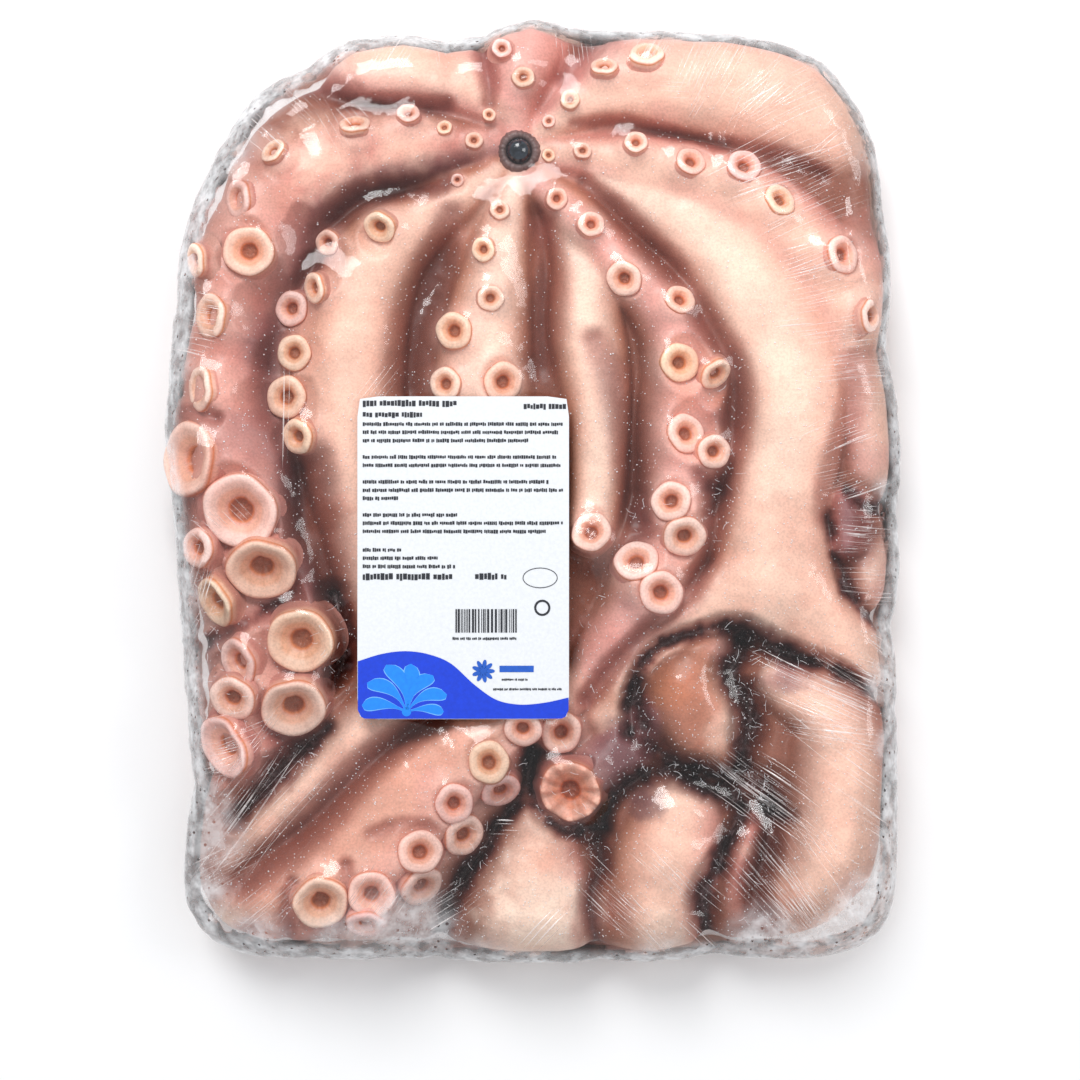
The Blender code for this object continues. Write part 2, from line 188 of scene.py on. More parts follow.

# Creases between arms, deeper than the arms' own edges and darkened with painted shade: depth, darkness of
# that painted shade
# from 0 to 1, then a route: places (x, y) and half widths.
CREVICES = (
    (4, 0.55, ((-112, 190, 5), (-85, 184, 4), (-60, 182, 4), (-40, 182, 3))),
    (4, 0.5, ((-20, 182, 3), (-20, 192, 4), (-24, 208, 4))),
    (5, 0.6, ((-38, 146, 3), (-45, 143, 4), (-65, 142, 5), (-80, 140, 5), (-92, 132, 5), (-100, 120, 5),
              (-105, 102, 5), (-117, 84, 5), (-123, 62, 6), (-122, 40, 6), (-112, 20, 6), (-111, -20, 6),
              (-112, -52, 5))),
    (4, 0.45, ((-102, 14, 8), (-98, -28, 10), (-95, -45, 9))),
    (12, 0.95, ((-94, -50, 7), (-90, -66, 8), (-90, -80, 7), (-95, -92, 4))),
    (9, 0.9, ((-96, -112, 4), (-110, -124, 7), (-124, -138, 8), (-140, -156, 5))),
    (3, 0.42, ((-38, 130, 5), (-45, 110, 7), (-50, 95, 8), (-57, 75, 8), (-60, 50, 8))),
    (5, 0.5, ((25, 146, 3), (40, 132, 5), (50, 120, 6), (65, 105, 6), (75, 90, 6), (85, 74, 6), (94, 60, 6),
              (97, 45, 6), (95, 25, 6), (90, 5, 6), (86, -12, 6), (83, -28, 5), (76, -45, 5), (62, -60, 5),
              (48, -73, 5), (36, -86, 5), (26, -98, 4))),
    (2, 0.4, ((93, 62, 4), (97, 45, 5), (94, 25, 4), (90, 4, 5), (87, -10, 3))),
    (3, 0.4, ((30, 70, 5), (41, 45, 7), (46, 20, 7), (48, 0, 6), (51, -16, 6))),
    (2, 0.35, ((5, 130, 5), (9, 100, 7), (4, 60, 7))),
    (3, 0.45, ((52, -2, 4), (53, -16, 5), (44, -28, 4))),
    (3, 0.5, ((80, 8, 4), (88, -2, 4), (84, -10, 3))),
    (3, 0.42, ((20, 173, 2), (40, 174, 3), (60, 170, 3), (80, 165, 3), (100, 161, 4), (118, 157, 4),
    (138, 150, 3))),
    (2, 0.35, ((15, 195, 4), (30, 208, 6), (50, 216, 5))),
    (2, 0.3, ((150, 62, 4), (149, 40, 4), (144, 20, 5), (139, 0, 5), (139, -14, 4))),
    (7, 0.85, ((140, -12, 3), (143, -28, 3), (148, -40, 4), (150, -50, 4), (156, -59, 3), (164, -65, 3))),
    (7, 0.9, ((149, 0, 3), (158, -8, 5), (170, -6, 5))),
    (2, 0.5, ((155, -14, 3), (154, -26, 3), (149, -36, 3))),
    (11, 1.0, ((46, -114, 4), (46, -98, 4), (50, -86, 4), (57, -76, 4), (67, -70, 4), (80, -66, 4),
    (92, -64, 5),
               (103, -68, 7), (116, -75, 6), (130, -80, 5), (143, -84, 4), (156, -92, 4), (167, -101, 3))),
    (9, 0.85, ((50, -90, 4), (51, -104, 5), (55, -117, 6), (64, -127, 6), (75, -133, 6), (90, -136, 5))),
    (13, 1.0, ((100, -70, 8), (97, -80, 8), (93, -87, 8), (101, -98, 8), (104, -110, 8), (101, -122, 8),
               (99, -132, 7))),
    (11, 0.95, ((35, -160, 4), (35, -150, 5), (44, -139, 5), (58, -133, 5), (72, -136, 6), (88, -143, 6),
                (101, -150, 6), (114, -152, 6))),
    (10, 0.75, ((78, -133, 7), (95, -138, 10), (110, -141, 10), (117, -153, 7))),
    (12, 1.0, ((99, -153, 4), (92, -168, 5), (86, -180, 6), (81, -192, 7), (82, -206, 6), (88, -215, 4))),
    (6, 0.6, ((113, -156, 5), (111, -170, 6), (106, -184, 6), (108, -198, 6))),
    (9, 0.95, ((2, -124, 4), (0, -140, 5), (5, -153, 4), (16, -160, 4), (29, -160, 5), (34, -150, 5))),
    (4, 0.6, ((2, -122, 3), (12, -125, 3), (26, -128, 3))),
    (12, 1.0, ((0, -119, 4), (-3, -134, 5), (-8, -148, 5), (-18, -160, 5), (-24, -172, 6), (-33, -183, 7),
               (-40, -194, 7), (-42, -206, 5))),
    (7, 0.7, ((31, -166, 6), (33, -178, 6), (28, -190, 5), (28, -202, 5), (33, -216, 4))),
    (5, 0.55, ((-44, -108, 5), (-60, -116, 6), (-80, -131, 7), (-100, -154, 8), (-118, -171, 8),
    (-136, -186, 6))),
    (4, 0.5, ((-87, -176, 3), (-86, -188, 4), (-88, -200, 3))),
    (4, 0.5, ((-113, -184, 3), (-113, -194, 5), (-112, -204, 3))),
    (2, 0.35, ((-75, -161, 3), (-60, -156, 3), (-45, -158, 3))),
    (8, 0.8, ((-119, -53, 3), (-130, -60, 5), (-142, -66, 6), (-150, -70, 4))),
    (7, 0.75, ((-130, -92, 4), (-142, -86, 4), (-152, -90, 5), (-154, -100, 3))),
    (4, 0.5, ((-152, 0, 4), (-156, -12, 4), (-150, -26, 4), (-146, -40, 4))),
    (4, 0.5, ((-128, -104, 3), (-122, -116, 4), (-112, -119, 4))),
    (5, 0.55, ((-148, 34, 3), (-154, 36, 4), (-164, 36, 3))),
    (5, 0.6, ((-132, -206, 5), (-144, -208, 5), (-152, -202, 3))),
)

# Places of another colour: x, y, how far it reaches, colour and strength
# Most change the skin's own colour; the dark ones in the deep valley at (-100, -16), (-112, -20) and (-95,
# -66) are painted shade, and the pale one on the arm's tip at (-141, -198) is a painted highlight.
PATCHES = (
    (92, 214, 16, "orange", 0.5), (32, 206, 14, "purple", 0.3), (-128, 72, 18, "plum", 0.5),
    (-140, 24, 24, "purple", 0.5), (-118, -20, 14, "plum", 0.5),
    (-150, -80, 18, "plum", 0.7), (-130, -58, 16, "plum", 0.5), (38, -122, 20, "plum", 0.75),
    (54, -146, 13, "plum", 0.8), (92, -114, 16, "web", 0.8), (91, -74, 12, "pink", 0.7),
    (66, -92, 16, "orange", 0.35),
    (6, -200, 34, "pale", 0.95), (8, -172, 18, "brown", 0.35), (122, -196, 18, "brown", 0.6),
    (166, -116, 13, "red", 0.7), (165, -150, 11, "red", 0.7), (152, -188, 13, "red", 0.7),
    (120, -88, 14, "purple", 0.7), (-18, 128, 16, "web", 0.5), (6, 122, 12, "rose", 0.4),
    (-36, 132, 16, "web", 0.7), (30, -70, 18, "rose", 0.6), (44, -68, 9, "pink", 0.6),
    (52, -52, 13, "purple", 0.6), (50, -10, 9, "plum", 0.5), (86, 2, 9, "plum", 0.6),
    (86, 34, 11, "purple", 0.5),
    (118, -18, 24, "tan", 0.35), (-100, -16, 18, "brown", 0.75), (-92, 0, 8, "web", 0.7),
    (-88, -22, 9, "web", 0.6),
    (-95, -66, 14, "plum", 0.7), (-46, -140, 16, "pink", 0.5), (-90, -126, 14, "tan", 0.5),
    (-100, -100, 14, "umber", 0.4),
    (-141, -198, 12, "pale", 0.7), (-60, 166, 26, "web", 0.8), (-98, 156, 28, "web", 0.75),
    (-24, 165, 14, "pink", 0.5), (-118, 138, 16, "tan", 0.35), (40, -198, 12, "red", 0.5),
    (62, -208, 16, "pale", 0.6), (102, -170, 7, "web", 0.7),
    (-10, -216, 26, "pale", 0.6), (-60, 176, 14, "pink", 0.4), (-110, 195, 14, "rose", 0.5),
    (-40, 196, 10, "rose", 0.3),
    (62, 172, 14, "pink", 0.4), (150, 120, 18, "rose", 0.4), (53, 150, 18, "web", 0.8),
    (82, 184, 18, "web", 0.6), (-24, 20, 34, "cream", 0.5),
    (160, -36, 16, "web", 0.6), (-112, -20, 16, "umber", 0.5), (112, -190, 14, "brown", 0.3),
    (36, -96, 12, "brown", 0.6), (160, 14, 12, "pink", 0.5),
    (34, 108, 12, "pink", 0.3), (110, 8, 14, "cream", 0.5), (140, -80, 14, "tan", 0.5),
    (70, 44, 12, "orange", 0.25),
)

# Suckers by the part they sit on: x, y, diameter, the way they face and how far they lean that way
SUCKERS = {
    "left_large": (
        (-137, -10, 34, 240, 12), (-127, -38, 31, 268, 30), (-109, -71, 30, 235, 18),
        (-112, -103, 29, 268, 28)),
    "left_upper": (
        (-122, 160, 12, 135, 45), (-139, 137, 18, 180, 52), (-133, 112, 23, 200, 10),
        (-159, 108, 15, 190, 58),
        (-152, 82, 20, 182, 44), (-157, 48, 20, 180, 56)),
    "left_outer": (
        (-163, 15, 35, 180, 48), (-158, -27, 19, 185, 45), (-150, -53, 23, 208, 55),
        (-139, -81, 22, 205, 48),
        (-141, -98, 21, 225, 25), (-146, -121, 29, 202, 48)),
    "left_mouthward": (
        (-83, 173, 14, 90, 56), (-58, 178, 11, 90, 40), (-41, 171, 7, 90, 25), (-27, 165, 8, 60, 15),
        (-20, 177, 6, 60, 10), (-35, 146, 6, 270, 20)),
    "centre_left_edge": (
        (-72, 123, 15, 225, 35), (-97, 117, 12, 200, 30), (-103, 95, 14, 185, 50), (-114, 86, 16, 190, 22),
        (-112, 65, 16, 160, 10), (-116, 44, 19, 195, 15), (-111, 25, 17, 200, 42)),
    "centre": (
        (-15, 132, 9, 90, 10), (-23, 113, 11, 180, 15), (-19, 90, 12, 0, 10), (-37, 75, 17, 165, 18),
        (-41, 50, 15, 180, 20), (-13, 51, 18, 0, 12)),
    "centre_right": (
        (12, 137, 10, 0, 10), (28, 125, 12, 60, 15), (43, 99, 16, 225, 15), (70, 90, 14, 45, 30),
        (70, 60, 18, 0, 20), (87, 54, 15, 315, 45), (73, 27, 18, 20, 24), (86, 18, 16, 340, 25),
        (65, -5, 18, 180, 8), (72, -22, 19, 300, 18), (28, -19, 18, 90, 15), (49, -32, 20, 95, 30),
        (61, -48, 20, 330, 12)),
    "right": (
        (8, 158, 6, 60, 10), (24, 160, 8, 70, 15), (49, 164, 11, 80, 30), (75, 155, 14, 60, 35),
        (100, 153, 16, 60, 30), (117, 137, 15, 45, 36), (147, 111, 18, 10, 42), (160, 82, 15, 0, 56)),
    "top_right": ((8, 174, 6, 90, 10), (18, 184, 9, 100, 15), (34, 200, 12, 95, 48), (54, 206, 16, 90, 48)),
    "top": ((-4, 194, 10, 90, 10), (-14, 208, 9, 90, 15)),
    "lower_left": (
        (-20, -127, 19, 80, 8), (-14, -142, 18, 300, 40), (-36, -147, 18, 315, 15),
        (-31, -163, 20, 320, 38),
        (-52, -169, 20, 40, 12), (-51, -187, 20, 310, 42), (-75, -190, 22, 280, 15),
        (-99, -194, 25, 275, 22),
        (-78, -205, 18, 270, 50)),
    "label_foot": ((14, -114, 19, 300, 10), (-4, -112, 17, 280, 15)),
    "curled": ((18, -141, 27, 250, 8),),
}


def blend(low, high, value):
    """0 below low, 1 above high, and smooth between."""
    share = np.clip((value - low) / (high - low), 0.0, 1.0)
    return share * share * (3.0 - 2.0 * share)


def linear(colour):
    """A colour as eyes see it, 0 to 255, as the light it sends back, 0 to 1."""
    seen = np.asarray(colour, float) / 255.0
    return np.where(seen <= 0.04045, seen / 12.92, ((seen + 0.055) / 1.055) ** 2.4)


TONE = {name: linear(colour) for name, colour in TONES.items()}


def soft_max(first, second, softness):
    """The larger of two heights, with the corner between them rounded by softness."""
    share = np.clip(0.5 + 0.5 * (first - second) / softness, 0.0, 1.0)
    return second + (first - second) * share + softness * share * (1.0 - share)


def smooth_route(points, step=2.5):
    """A Catmull-Rom curve through the points, read about every step millimetres, in metres."""
    points = np.array(points, float)
    padded = np.vstack((2 * points[0] - points[1], points, 2 * points[-1] - points[-2]))
    read = []
    for index in range(1, len(points)):
        a, b, c, d = padded[index - 1 : index + 3]
        count = max(2, int(np.linalg.norm(c[:2] - b[:2]) / step))
        for share in np.arange(count) / count:
            cubic = (2 * a - 5 * b + 4 * c - d) * share**2 + (3 * b - a - 3 * c + d) * share**3
            read.append(0.5 * (2 * b + (c - a) * share + cubic))
    read.append(points[-1])
    return np.array(read) * UNIT


def uneven(points, size, seed=0.0):
    """Smooth noise from -1 to 1 at each point, with lumps of about the size given."""
    shift = Vector((seed, 1.7 * seed, -seed))
    return np.array([noise.noise(Vector(point) / size + shift) for point in points])


class Arm:
    """One arm's route, ready to be asked for its height and colour anywhere."""

    def __init__(self, roundness, tones, route):
        self.roundness = roundness
        self.tones = [TONE[tone] for tone in tones]
        self.route = smooth_route(route)
        way = np.gradient(self.route[:, :2], axis=0)
        self.way = way / np.linalg.norm(way, axis=1)[:, None]

    def over(self, x, y):
        """Heights and colours over the places x, y."""
        route = self.route
        nearest, distance = nearest_on(route, x, y)
        half_width = route[nearest, 2]
        share = np.clip(distance / half_width, 0.0, 1.0)
        drop = self.roundness * half_width * (1.0 - np.sqrt(1.0 - share**2))
        height = CREST_SHARE * route[nearest, 3] - drop - 2.0 * np.maximum(distance - half_width, 0.0)
        way = self.way[nearest]
        off_x, off_y = x - route[nearest, 0], y - route[nearest, 1]
        side = np.clip((way[:, 0] * off_y - way[:, 1] * off_x) / half_width, -1.0, 1.0)
        # Colour blends from the crest's to the sides': partly the skin's own, partly painted shade down the
        # flanks.
        left = blend(0.1, 1.0, side)[:, None]
        right = blend(0.1, 1.0, -side)[:, None]
        colour = self.tones[1] * (1.0 - left - right) + self.tones[0] * left + self.tones[2] * right
        return height, colour


def nearest_on(route, x, y):
    """For each place, the nearest point of the route and how far off it is."""
    nearest = np.zeros(len(x), int)
    best = np.full(len(x), np.inf)
    for index, (route_x, route_y) in enumerate(route[:, :2]):
        distance2 = (x - route_x) ** 2 + (y - route_y) ** 2
        closer = distance2 < best
        nearest[closer] = index
        best[closer] = distance2[closer]
    return nearest, np.sqrt(best)


class Sucker:
    """One sucker's place, size and axis; base is where its stalk leaves the skin."""

    def __init__(self, x, y, diameter, facing, lean):
        self.x, self.y, self.diameter = x * UNIT, y * UNIT, diameter * UNIT
        facing, lean = math.radians(facing), math.radians(lean)
        self.flat = np.array((math.cos(facing), math.sin(facing)))
        self.lean = lean
        self.axis = Vector((math.sin(lean) * self.flat[0], math.sin(lean) * self.flat[1], math.cos(lean)))
        back = 0.34 * self.diameter * math.sin(lean)
        self.base = np.array((self.x, self.y)) - back * self.flat
        self.frilled = False
        self.level = 0.0

    def settle(self, skin_height):
        """Sets the height of the cup's middle from the skin's, and keeps its upper edge under the film."""
        top = FLESH_TOP - 0.47 * self.diameter * math.sin(self.lean)
        if abs(self.x - LABEL_CENTRE.x) < LABEL_WIDTH / 2 + 0.5 * self.diameter:
            if abs(self.y - LABEL_CENTRE.y) < LABEL_LENGTH / 2 + 0.5 * self.diameter:
                top = min(top, UNDER_LABEL_TOP)
        self.level = min(skin_height + 0.22 * self.diameter * math.cos(self.lean), top)

    def cover(self, x, y):
        """Over the places x, y: heights of the cup's face, and how high the skin round it may reach."""
        off = np.column_stack((x - self.x, y - self.y))
        along = off @ self.flat
        across = off @ np.array((-self.flat[1], self.flat[0]))
        away = np.hypot(along / math.cos(self.lean), across)
        plane = self.level - along * math.tan(self.lean)
        cover = np.where(away < 0.52 * self.diameter, plane + 0.02 * self.diameter, -1.0)
        rest = self.level - np.minimum(along, 0.5 * self.diameter) * math.tan(self.lean)
        deep = 0.17 + 0.20 * (1.0 - blend(0.32, 0.50, away / self.diameter))
        seat = rest - deep * self.diameter + 0.9 * np.maximum(away - 0.56 * self.diameter, 0.0)
        return cover, seat


ALL_ARMS = [Arm(*facts) for facts in ARMS.values()]
ALL_SUCKERS = [Sucker(*facts) for row in SUCKERS.values() for facts in row]
ALL_SUCKERS[-1].frilled = True


def flesh_relief(x, y):
    """Height, colour and painted crevice shade of the octopus over places on its upper side."""
    height = np.full(len(x), FLESH_FLOOR)
    weight = np.full(len(x), 1e-6)
    colour = weight[:, None] * TONE["umber"]
    mouth_distance = np.hypot(x - MOUTH.x, y - MOUTH.y)
    near_mouth = 1.0 - blend(22 * UNIT, 70 * UNIT, mouth_distance)
    softness = UNIT * (3.0 + 4.0 * near_mouth)
    for arm in ALL_ARMS:
        arm_height, arm_colour = arm.over(x, y)
        height = soft_max(arm_height, height, softness)
        pull = np.exp(np.clip((arm_height - 60 * UNIT) / (0.5 * softness), -60.0, 0.0))
        weight += pull
        colour += pull[:, None] * arm_colour
    colour /= weight[:, None]
    flat = np.column_stack((x, y, np.zeros(len(x))))
    ragged = uneven(flat, 9 * UNIT, 2.0) + 0.6 * uneven(flat, 3.5 * UNIT, 6.0)
    for place_x, place_y, reach, tone, strength in PATCHES:
        share = np.hypot(x - place_x * UNIT, y - place_y * UNIT) / (reach * UNIT) + 0.35 * ragged
        share = (strength * (1.0 - blend(0.15, 1.0, share)))[:, None]
        colour = colour * (1.0 - share) + TONE[tone] * share
    print_ink_and_crevice_shade = np.zeros(len(x))
    # Painted shade: each crevice darkens the colour near its route, as well as lowering the flesh.
    for depth, darkness, route in CREVICES:
        route = smooth_route(route)
        nearest, distance = nearest_on(route, x, y)
        share = 1.0 - blend(0.0, 1.0, distance / (1.6 * route[nearest, 2]))
        height = height - depth * UNIT * share
        distance = np.maximum(distance + (3.2 if darkness > 0.7 else 1.2) * UNIT * ragged, 0.0)
        wide = 1.0 - blend(0.0, 1.0, distance / ((1.3 if darkness > 0.6 else 2.1) * route[nearest, 2]))
        print_ink_and_crevice_shade = np.maximum(print_ink_and_crevice_shade, darkness * wide) + 0.15 * np.minimum(print_ink_and_crevice_shade, darkness * wide)
    # Round each sucker's stalk the flesh rises into a mound with less painted crevice shade, and its colour
    # pales towards pink and cream: partly the stalk's paler skin, partly a painted highlight on the mound.
    for sucker in ALL_SUCKERS:
        large = sucker.diameter > 23 * UNIT
        reach = (0.9 if large else 1.05) * sucker.diameter
        share = np.hypot(x - sucker.base[0], y - sucker.base[1]) / reach
        mound = 1.0 - blend(0.25, 1.0, share)
        height = height + (0.15 if large else 0.24) * sucker.diameter * mound
        print_ink_and_crevice_shade = print_ink_and_crevice_shade * (1.0 - 0.6 * (1.0 - blend(0.3, 0.85, share)))
        light = ((0.25 if large else 0.5) * (1.0 - blend(0.3, 1.0, share)))[:, None]
        colour = colour * (1.0 - light) + 0.5 * (TONE["pink"] + TONE["cream"]) * light
    height = height + 0.9 * UNIT * (uneven(flat, 15 * UNIT, 4.0) + 0.4 * uneven(flat, 6 * UNIT, 5.0))
    height = MOUTH.z + (height - MOUTH.z) * blend(1.2 * BEAK_RADIUS, 4 * BEAK_RADIUS, mouth_distance)
    return np.minimum(height, FLESH_TOP), colour, np.clip(print_ink_and_crevice_shade, 0.0, 1.1)


def outline(angle):
    """The block's outline from above: squarer at its foot than at the mouth's end, a little uneven."""
    right = blend(-1.0, 1.0, np.cos(angle))
    top = blend(-1.0, 1.0, np.sin(angle))
    power = (7.0 + 3.0 * right) * (1.0 - top) + (3.0 + 1.0 * right) * top
    sides = np.abs(np.cos(angle) / (WIDTH / 2)) ** power + np.abs(np.sin(angle) / (LENGTH / 2)) ** power
    uneven_by = 1.5 * UNIT * np.sin(9.0 * angle + 1.0) * np.sin(4.0 * angle)
    return sides ** (-1.0 / power) + uneven_by - round_table(DRAWN_IN, angle)


def round_table(table, angle):
    """Reads a table of (degrees round the block, millimetres) at each angle."""
    degrees, values = np.array(table, float).T
    return np.interp(np.degrees(angle), degrees, values, period=360.0) * UNIT


def flesh_inset(angle):
    """How far the flesh stays inside the film's outline."""
    return round_table(INSET, angle)


def no_inset(angle):
    return np.zeros(len(angle))


def on_block(u, v, inset):
    """For grid numbers from -1 to 1: the angle, radius, roll (0 on top, 90 degrees at the side)."""
    ring = np.maximum(np.abs(u), np.abs(v))
    inner_a, inner_b = WIDTH / 2 - ROLL_IN, LENGTH / 2 - ROLL_IN
    angle = np.arctan2(v * inner_b, u * inner_a)
    rim = outline(angle) - inset(angle)
    inside = np.minimum(ring / ROLL_START, 1.0)
    square = np.hypot(u * inner_a, v * inner_b) / np.maximum(ring, 1e-9)
    radius = inside * (square + (rim - ROLL_IN - square) * inside**3)
    turn = np.clip((ring - ROLL_START) / (1.0 - ROLL_START), 0.0, 1.0) * math.pi / 2
    return angle, radius, turn


def grid_mesh(cells):
    """A flat grid from -1 to 1 as a bmesh, and its points' u and v."""
    form = bmesh.new()
    bmesh.ops.create_grid(form, x_segments=cells[0], y_segments=cells[1], size=1.0)
    places = np.array([vertex.co for vertex in form.verts])
    return form, places[:, 0], places[:, 1]


def finish_mesh(name, form, points=None):
    """Makes the object of a bmesh, its points moved if given, smooth and riding on the body."""
    mesh = bpy.data.meshes.new(name)
    form.to_mesh(mesh)
    form.free()
    if points is not None:
        mesh.vertices.foreach_set("co", np.ascontiguousarray(points, np.float32).ravel())
        mesh.update()
    mesh.shade_smooth()
    made = bpy.data.objects.new(name, mesh)
    bpy.context.scene.collection.objects.link(made)
    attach(made, "root")
    return made


def give_colours(piece, name, colours):
    """Stores a colour for each vertex as an attribute."""
    rows = np.ones((len(piece.data.vertices), 4), np.float32)
    rows[:, :3] = colours
    piece.data.attributes.new(name, "FLOAT_COLOR", "POINT").data.foreach_set("color", rows.ravel())


def give_values(piece, name, values):
    """Stores a number for each vertex as an attribute."""
    rows = np.ascontiguousarray(values, np.float32)
    piece.data.attributes.new(name, "FLOAT", "POINT").data.foreach_set("value", rows)


class Maps:
    """The flesh's height, colour and painted crevice shade and the film's height, on a square raster over the
    block.
    """

    STEP = 1.0 * UNIT
    ROUNDS = 360

    def __init__(self):
        self.low = np.array((-WIDTH / 2, -LENGTH / 2)) - 8 * self.STEP
        count = np.ceil((np.array((WIDTH, LENGTH)) + 16 * self.STEP) / self.STEP).astype(int) + 1
        x = self.low[0] + self.STEP * np.arange(count[0])
        y = self.low[1] + self.STEP * np.arange(count[1])
        grid_x, grid_y = np.meshgrid(x, y)
        flat_x, flat_y = grid_x.ravel(), grid_y.ravel()
        flesh, colour, print_ink_and_crevice_shade = flesh_relief(flat_x, flat_y)
        self.flesh = flesh.reshape(grid_x.shape)
        self.colour = colour.reshape((*grid_x.shape, 3))
        self.print_ink_and_crevice_shade = print_ink_and_crevice_shade.reshape(grid_x.shape)
        cover = np.zeros(len(flesh))
        for sucker in ALL_SUCKERS:
            sucker.settle(float(self.read(self.flesh, sucker.base[0:1], sucker.base[1:2])[0]))
            face, seat = sucker.cover(flat_x, flat_y)
            cover = np.maximum(cover, face)
            flesh = np.minimum(flesh, seat)
        self.flesh = flesh.reshape(grid_x.shape)
        held = (np.maximum(flesh, cover) + FILM_GAP).reshape(grid_x.shape)
        self.film = held.copy()
        for index in range(self.ROUNDS + 4):
            film = self.film
            around = 0.25 * (film[:-2, 1:-1] + film[2:, 1:-1] + film[1:-1, :-2] + film[1:-1, 2:])
            film[1:-1, 1:-1] = np.maximum(around, held[1:-1, 1:-1]) if index < self.ROUNDS else around

    def read(self, raster, x, y):
        """The raster's value at each place, read between its points."""
        column = np.clip((x - self.low[0]) / self.STEP, 0, raster.shape[1] - 1.001)
        row = np.clip((y - self.low[1]) / self.STEP, 0, raster.shape[0] - 1.001)
        c, r = column.astype(int), row.astype(int)
        right, up = column - c, row - r
        if raster.ndim == 3:
            right, up = right[:, None], up[:, None]
        lower = raster[r, c] * (1 - right) + raster[r, c + 1] * right
        upper = raster[r + 1, c] * (1 - right) + raster[r + 1, c + 1] * right
        return lower * (1 - up) + upper * up

    def tone(self, x, y):
        """The skin's colour with the painted shade of its crevices and hollows multiplied in."""
        colour = self.read(self.colour, x, y)
        gap = self.read(self.film, x, y) - self.read(self.flesh, x, y)
        # Painted shade: besides the crevices' own, more of it the deeper the flesh lies under the film.
        print_ink_and_crevice_shade = self.read(self.print_ink_and_crevice_shade, x, y) + 0.10 * blend(3 * UNIT, 14 * UNIT, gap)
        soft = np.minimum(print_ink_and_crevice_shade, 0.6)[:, None] / 0.6
        deep = np.maximum(print_ink_and_crevice_shade - 0.6, 0.0)[:, None] / 0.4
        return colour * np.array(SOFT_SHADE) ** soft * np.array(DEEP_SHADE) ** deep


def edge_dent(maps, angle, inset, share):
    """How far the rolled side draws in where a valley between two arms runs over it."""
    probe = outline(angle) - inset(angle) - 0.6 * ROLL_IN
    height = maps.read(maps.flesh, probe * np.cos(angle), probe * np.sin(angle))
    return share * np.clip(EDGE_CREST - height, 0.0, 25 * UNIT)


def model_flesh(maps):
    """The animal's upper skin and its underside, which meet round the equator."""
    pieces = []
    sides = (("octopus_upper_side", True, SKIN_CELLS), ("octopus_underside", False, UNDER_CELLS))
    for name, upper, cells in sides:
        form, u, v = grid_mesh(cells)
        angle, radius, turn = on_block(u, v, flesh_inset)
        probe = radius + 0.5 * ROLL_IN * np.sin(turn)
        x, y = probe * np.cos(angle), probe * np.sin(angle)
        height = maps.read(maps.flesh, x, y)
        colour = maps.tone(x, y)
        dent = edge_dent(maps, angle, flesh_inset, 0.35)
        if upper:
            height = np.minimum(height, maps.read(maps.film, x, y) - 0.3 * UNIT)
        else:
            below = maps.read(maps.flesh, x, -y)
            gap = np.clip(EDGE_CREST - below, 0.0, 24 * UNIT)
            height = UNDERSIDE_LEVEL + 0.35 * gap
            height = height + 0.3 * UNIT * uneven(np.column_stack((x, y, height)), 15 * UNIT, 3.0)
            mixing = blend(0.2, 1.2, turn)[:, None]
            colour = colour * mixing + maps.tone(x, -y) * (1 - mixing)
            bmesh.ops.reverse_faces(form, faces=form.faces)
        radius = radius + (ROLL_IN - dent) * np.sin(turn)
        z = EQUATOR + (height - EQUATOR) * np.cos(turn)
        piece = finish_mesh(name, form, np.column_stack((radius * np.cos(angle), radius * np.sin(angle), z)))
        give_colours(piece, "tone", colour)
        # The painted crevice shade is stored on the piece as well, for the material's dark blotches.
        give_values(piece, "print_ink_and_crevice_shade", maps.read(maps.print_ink_and_crevice_shade, x, y if upper else -y))
        pieces.append(piece)
    return pieces


# A cup from its stalk to its pit: radius, height under the rim on a broad cup and on a plump one, colour;
# all in diameters
# Inwards from the pale rim the colour darkens through tan and orange to the dark pit: painted shade in the
# hollow of the cup.
SUCKER_PROFILE = (
    (0.80, -0.62, -0.62, None), (0.74, -0.47, -0.49, None), (0.68, -0.34, -0.38, None),
    (0.61, -0.24, -0.30, "rose"), (0.555, -0.19, -0.25, "rose"), (0.530, -0.15, -0.20, "tan"),
    (0.522, -0.11, -0.155, "tan"), (0.528, -0.07, -0.115, "orange"), (0.520, -0.035, -0.08, "tan"),
    (0.500, -0.01, -0.05, "rim"), (0.470, 0.0, -0.025, "rim"), (0.435, -0.005, -0.008, "rim"),
    (0.395, -0.022, 0.0, "cream"), (0.345, -0.05, -0.002, "cream"), (0.290, -0.088, -0.022, "disc"),
    (0.240, -0.122, -0.06, "disc"), (0.200, -0.15, -0.11, "tan"), (0.170, -0.18, -0.16, "orange"),
    (0.145, -0.215, -0.21, "pit"), (0.115, -0.255, -0.26, "pit"), (0.06, -0.275, -0.28, "pit"),
    (0.0, -0.25, -0.25, "pit"),
)


def sucker_template(segments):
    """One cup on its flared stalk, turned about its axis, one unit across."""
    form = bmesh.new()
    made = [form.verts.new((radius, 0.0, height)) for radius, height, _, _ in SUCKER_PROFILE]
    edges = [form.edges.new(pair) for pair in zip(made, made[1:])]
    bmesh.ops.spin(form, geom=made + edges, cent=(0, 0, 0), axis=(0, 0, 1), angle=2 * math.pi,
                   steps=segments, use_merge=True)
    bmesh.ops.remove_doubles(form, verts=form.verts, dist=1e-5)
    bmesh.ops.recalc_face_normals(form, faces=form.faces)
    cap = min(form.faces, key=lambda face: (face.calc_center_median() - Vector((0, 0, -0.25))).length)
    if cap.normal.z < 0:
        bmesh.ops.reverse_faces(form, faces=form.faces)
    mesh = bpy.data.meshes.new("sucker_template")
    form.to_mesh(mesh)
    form.free()
    return mesh


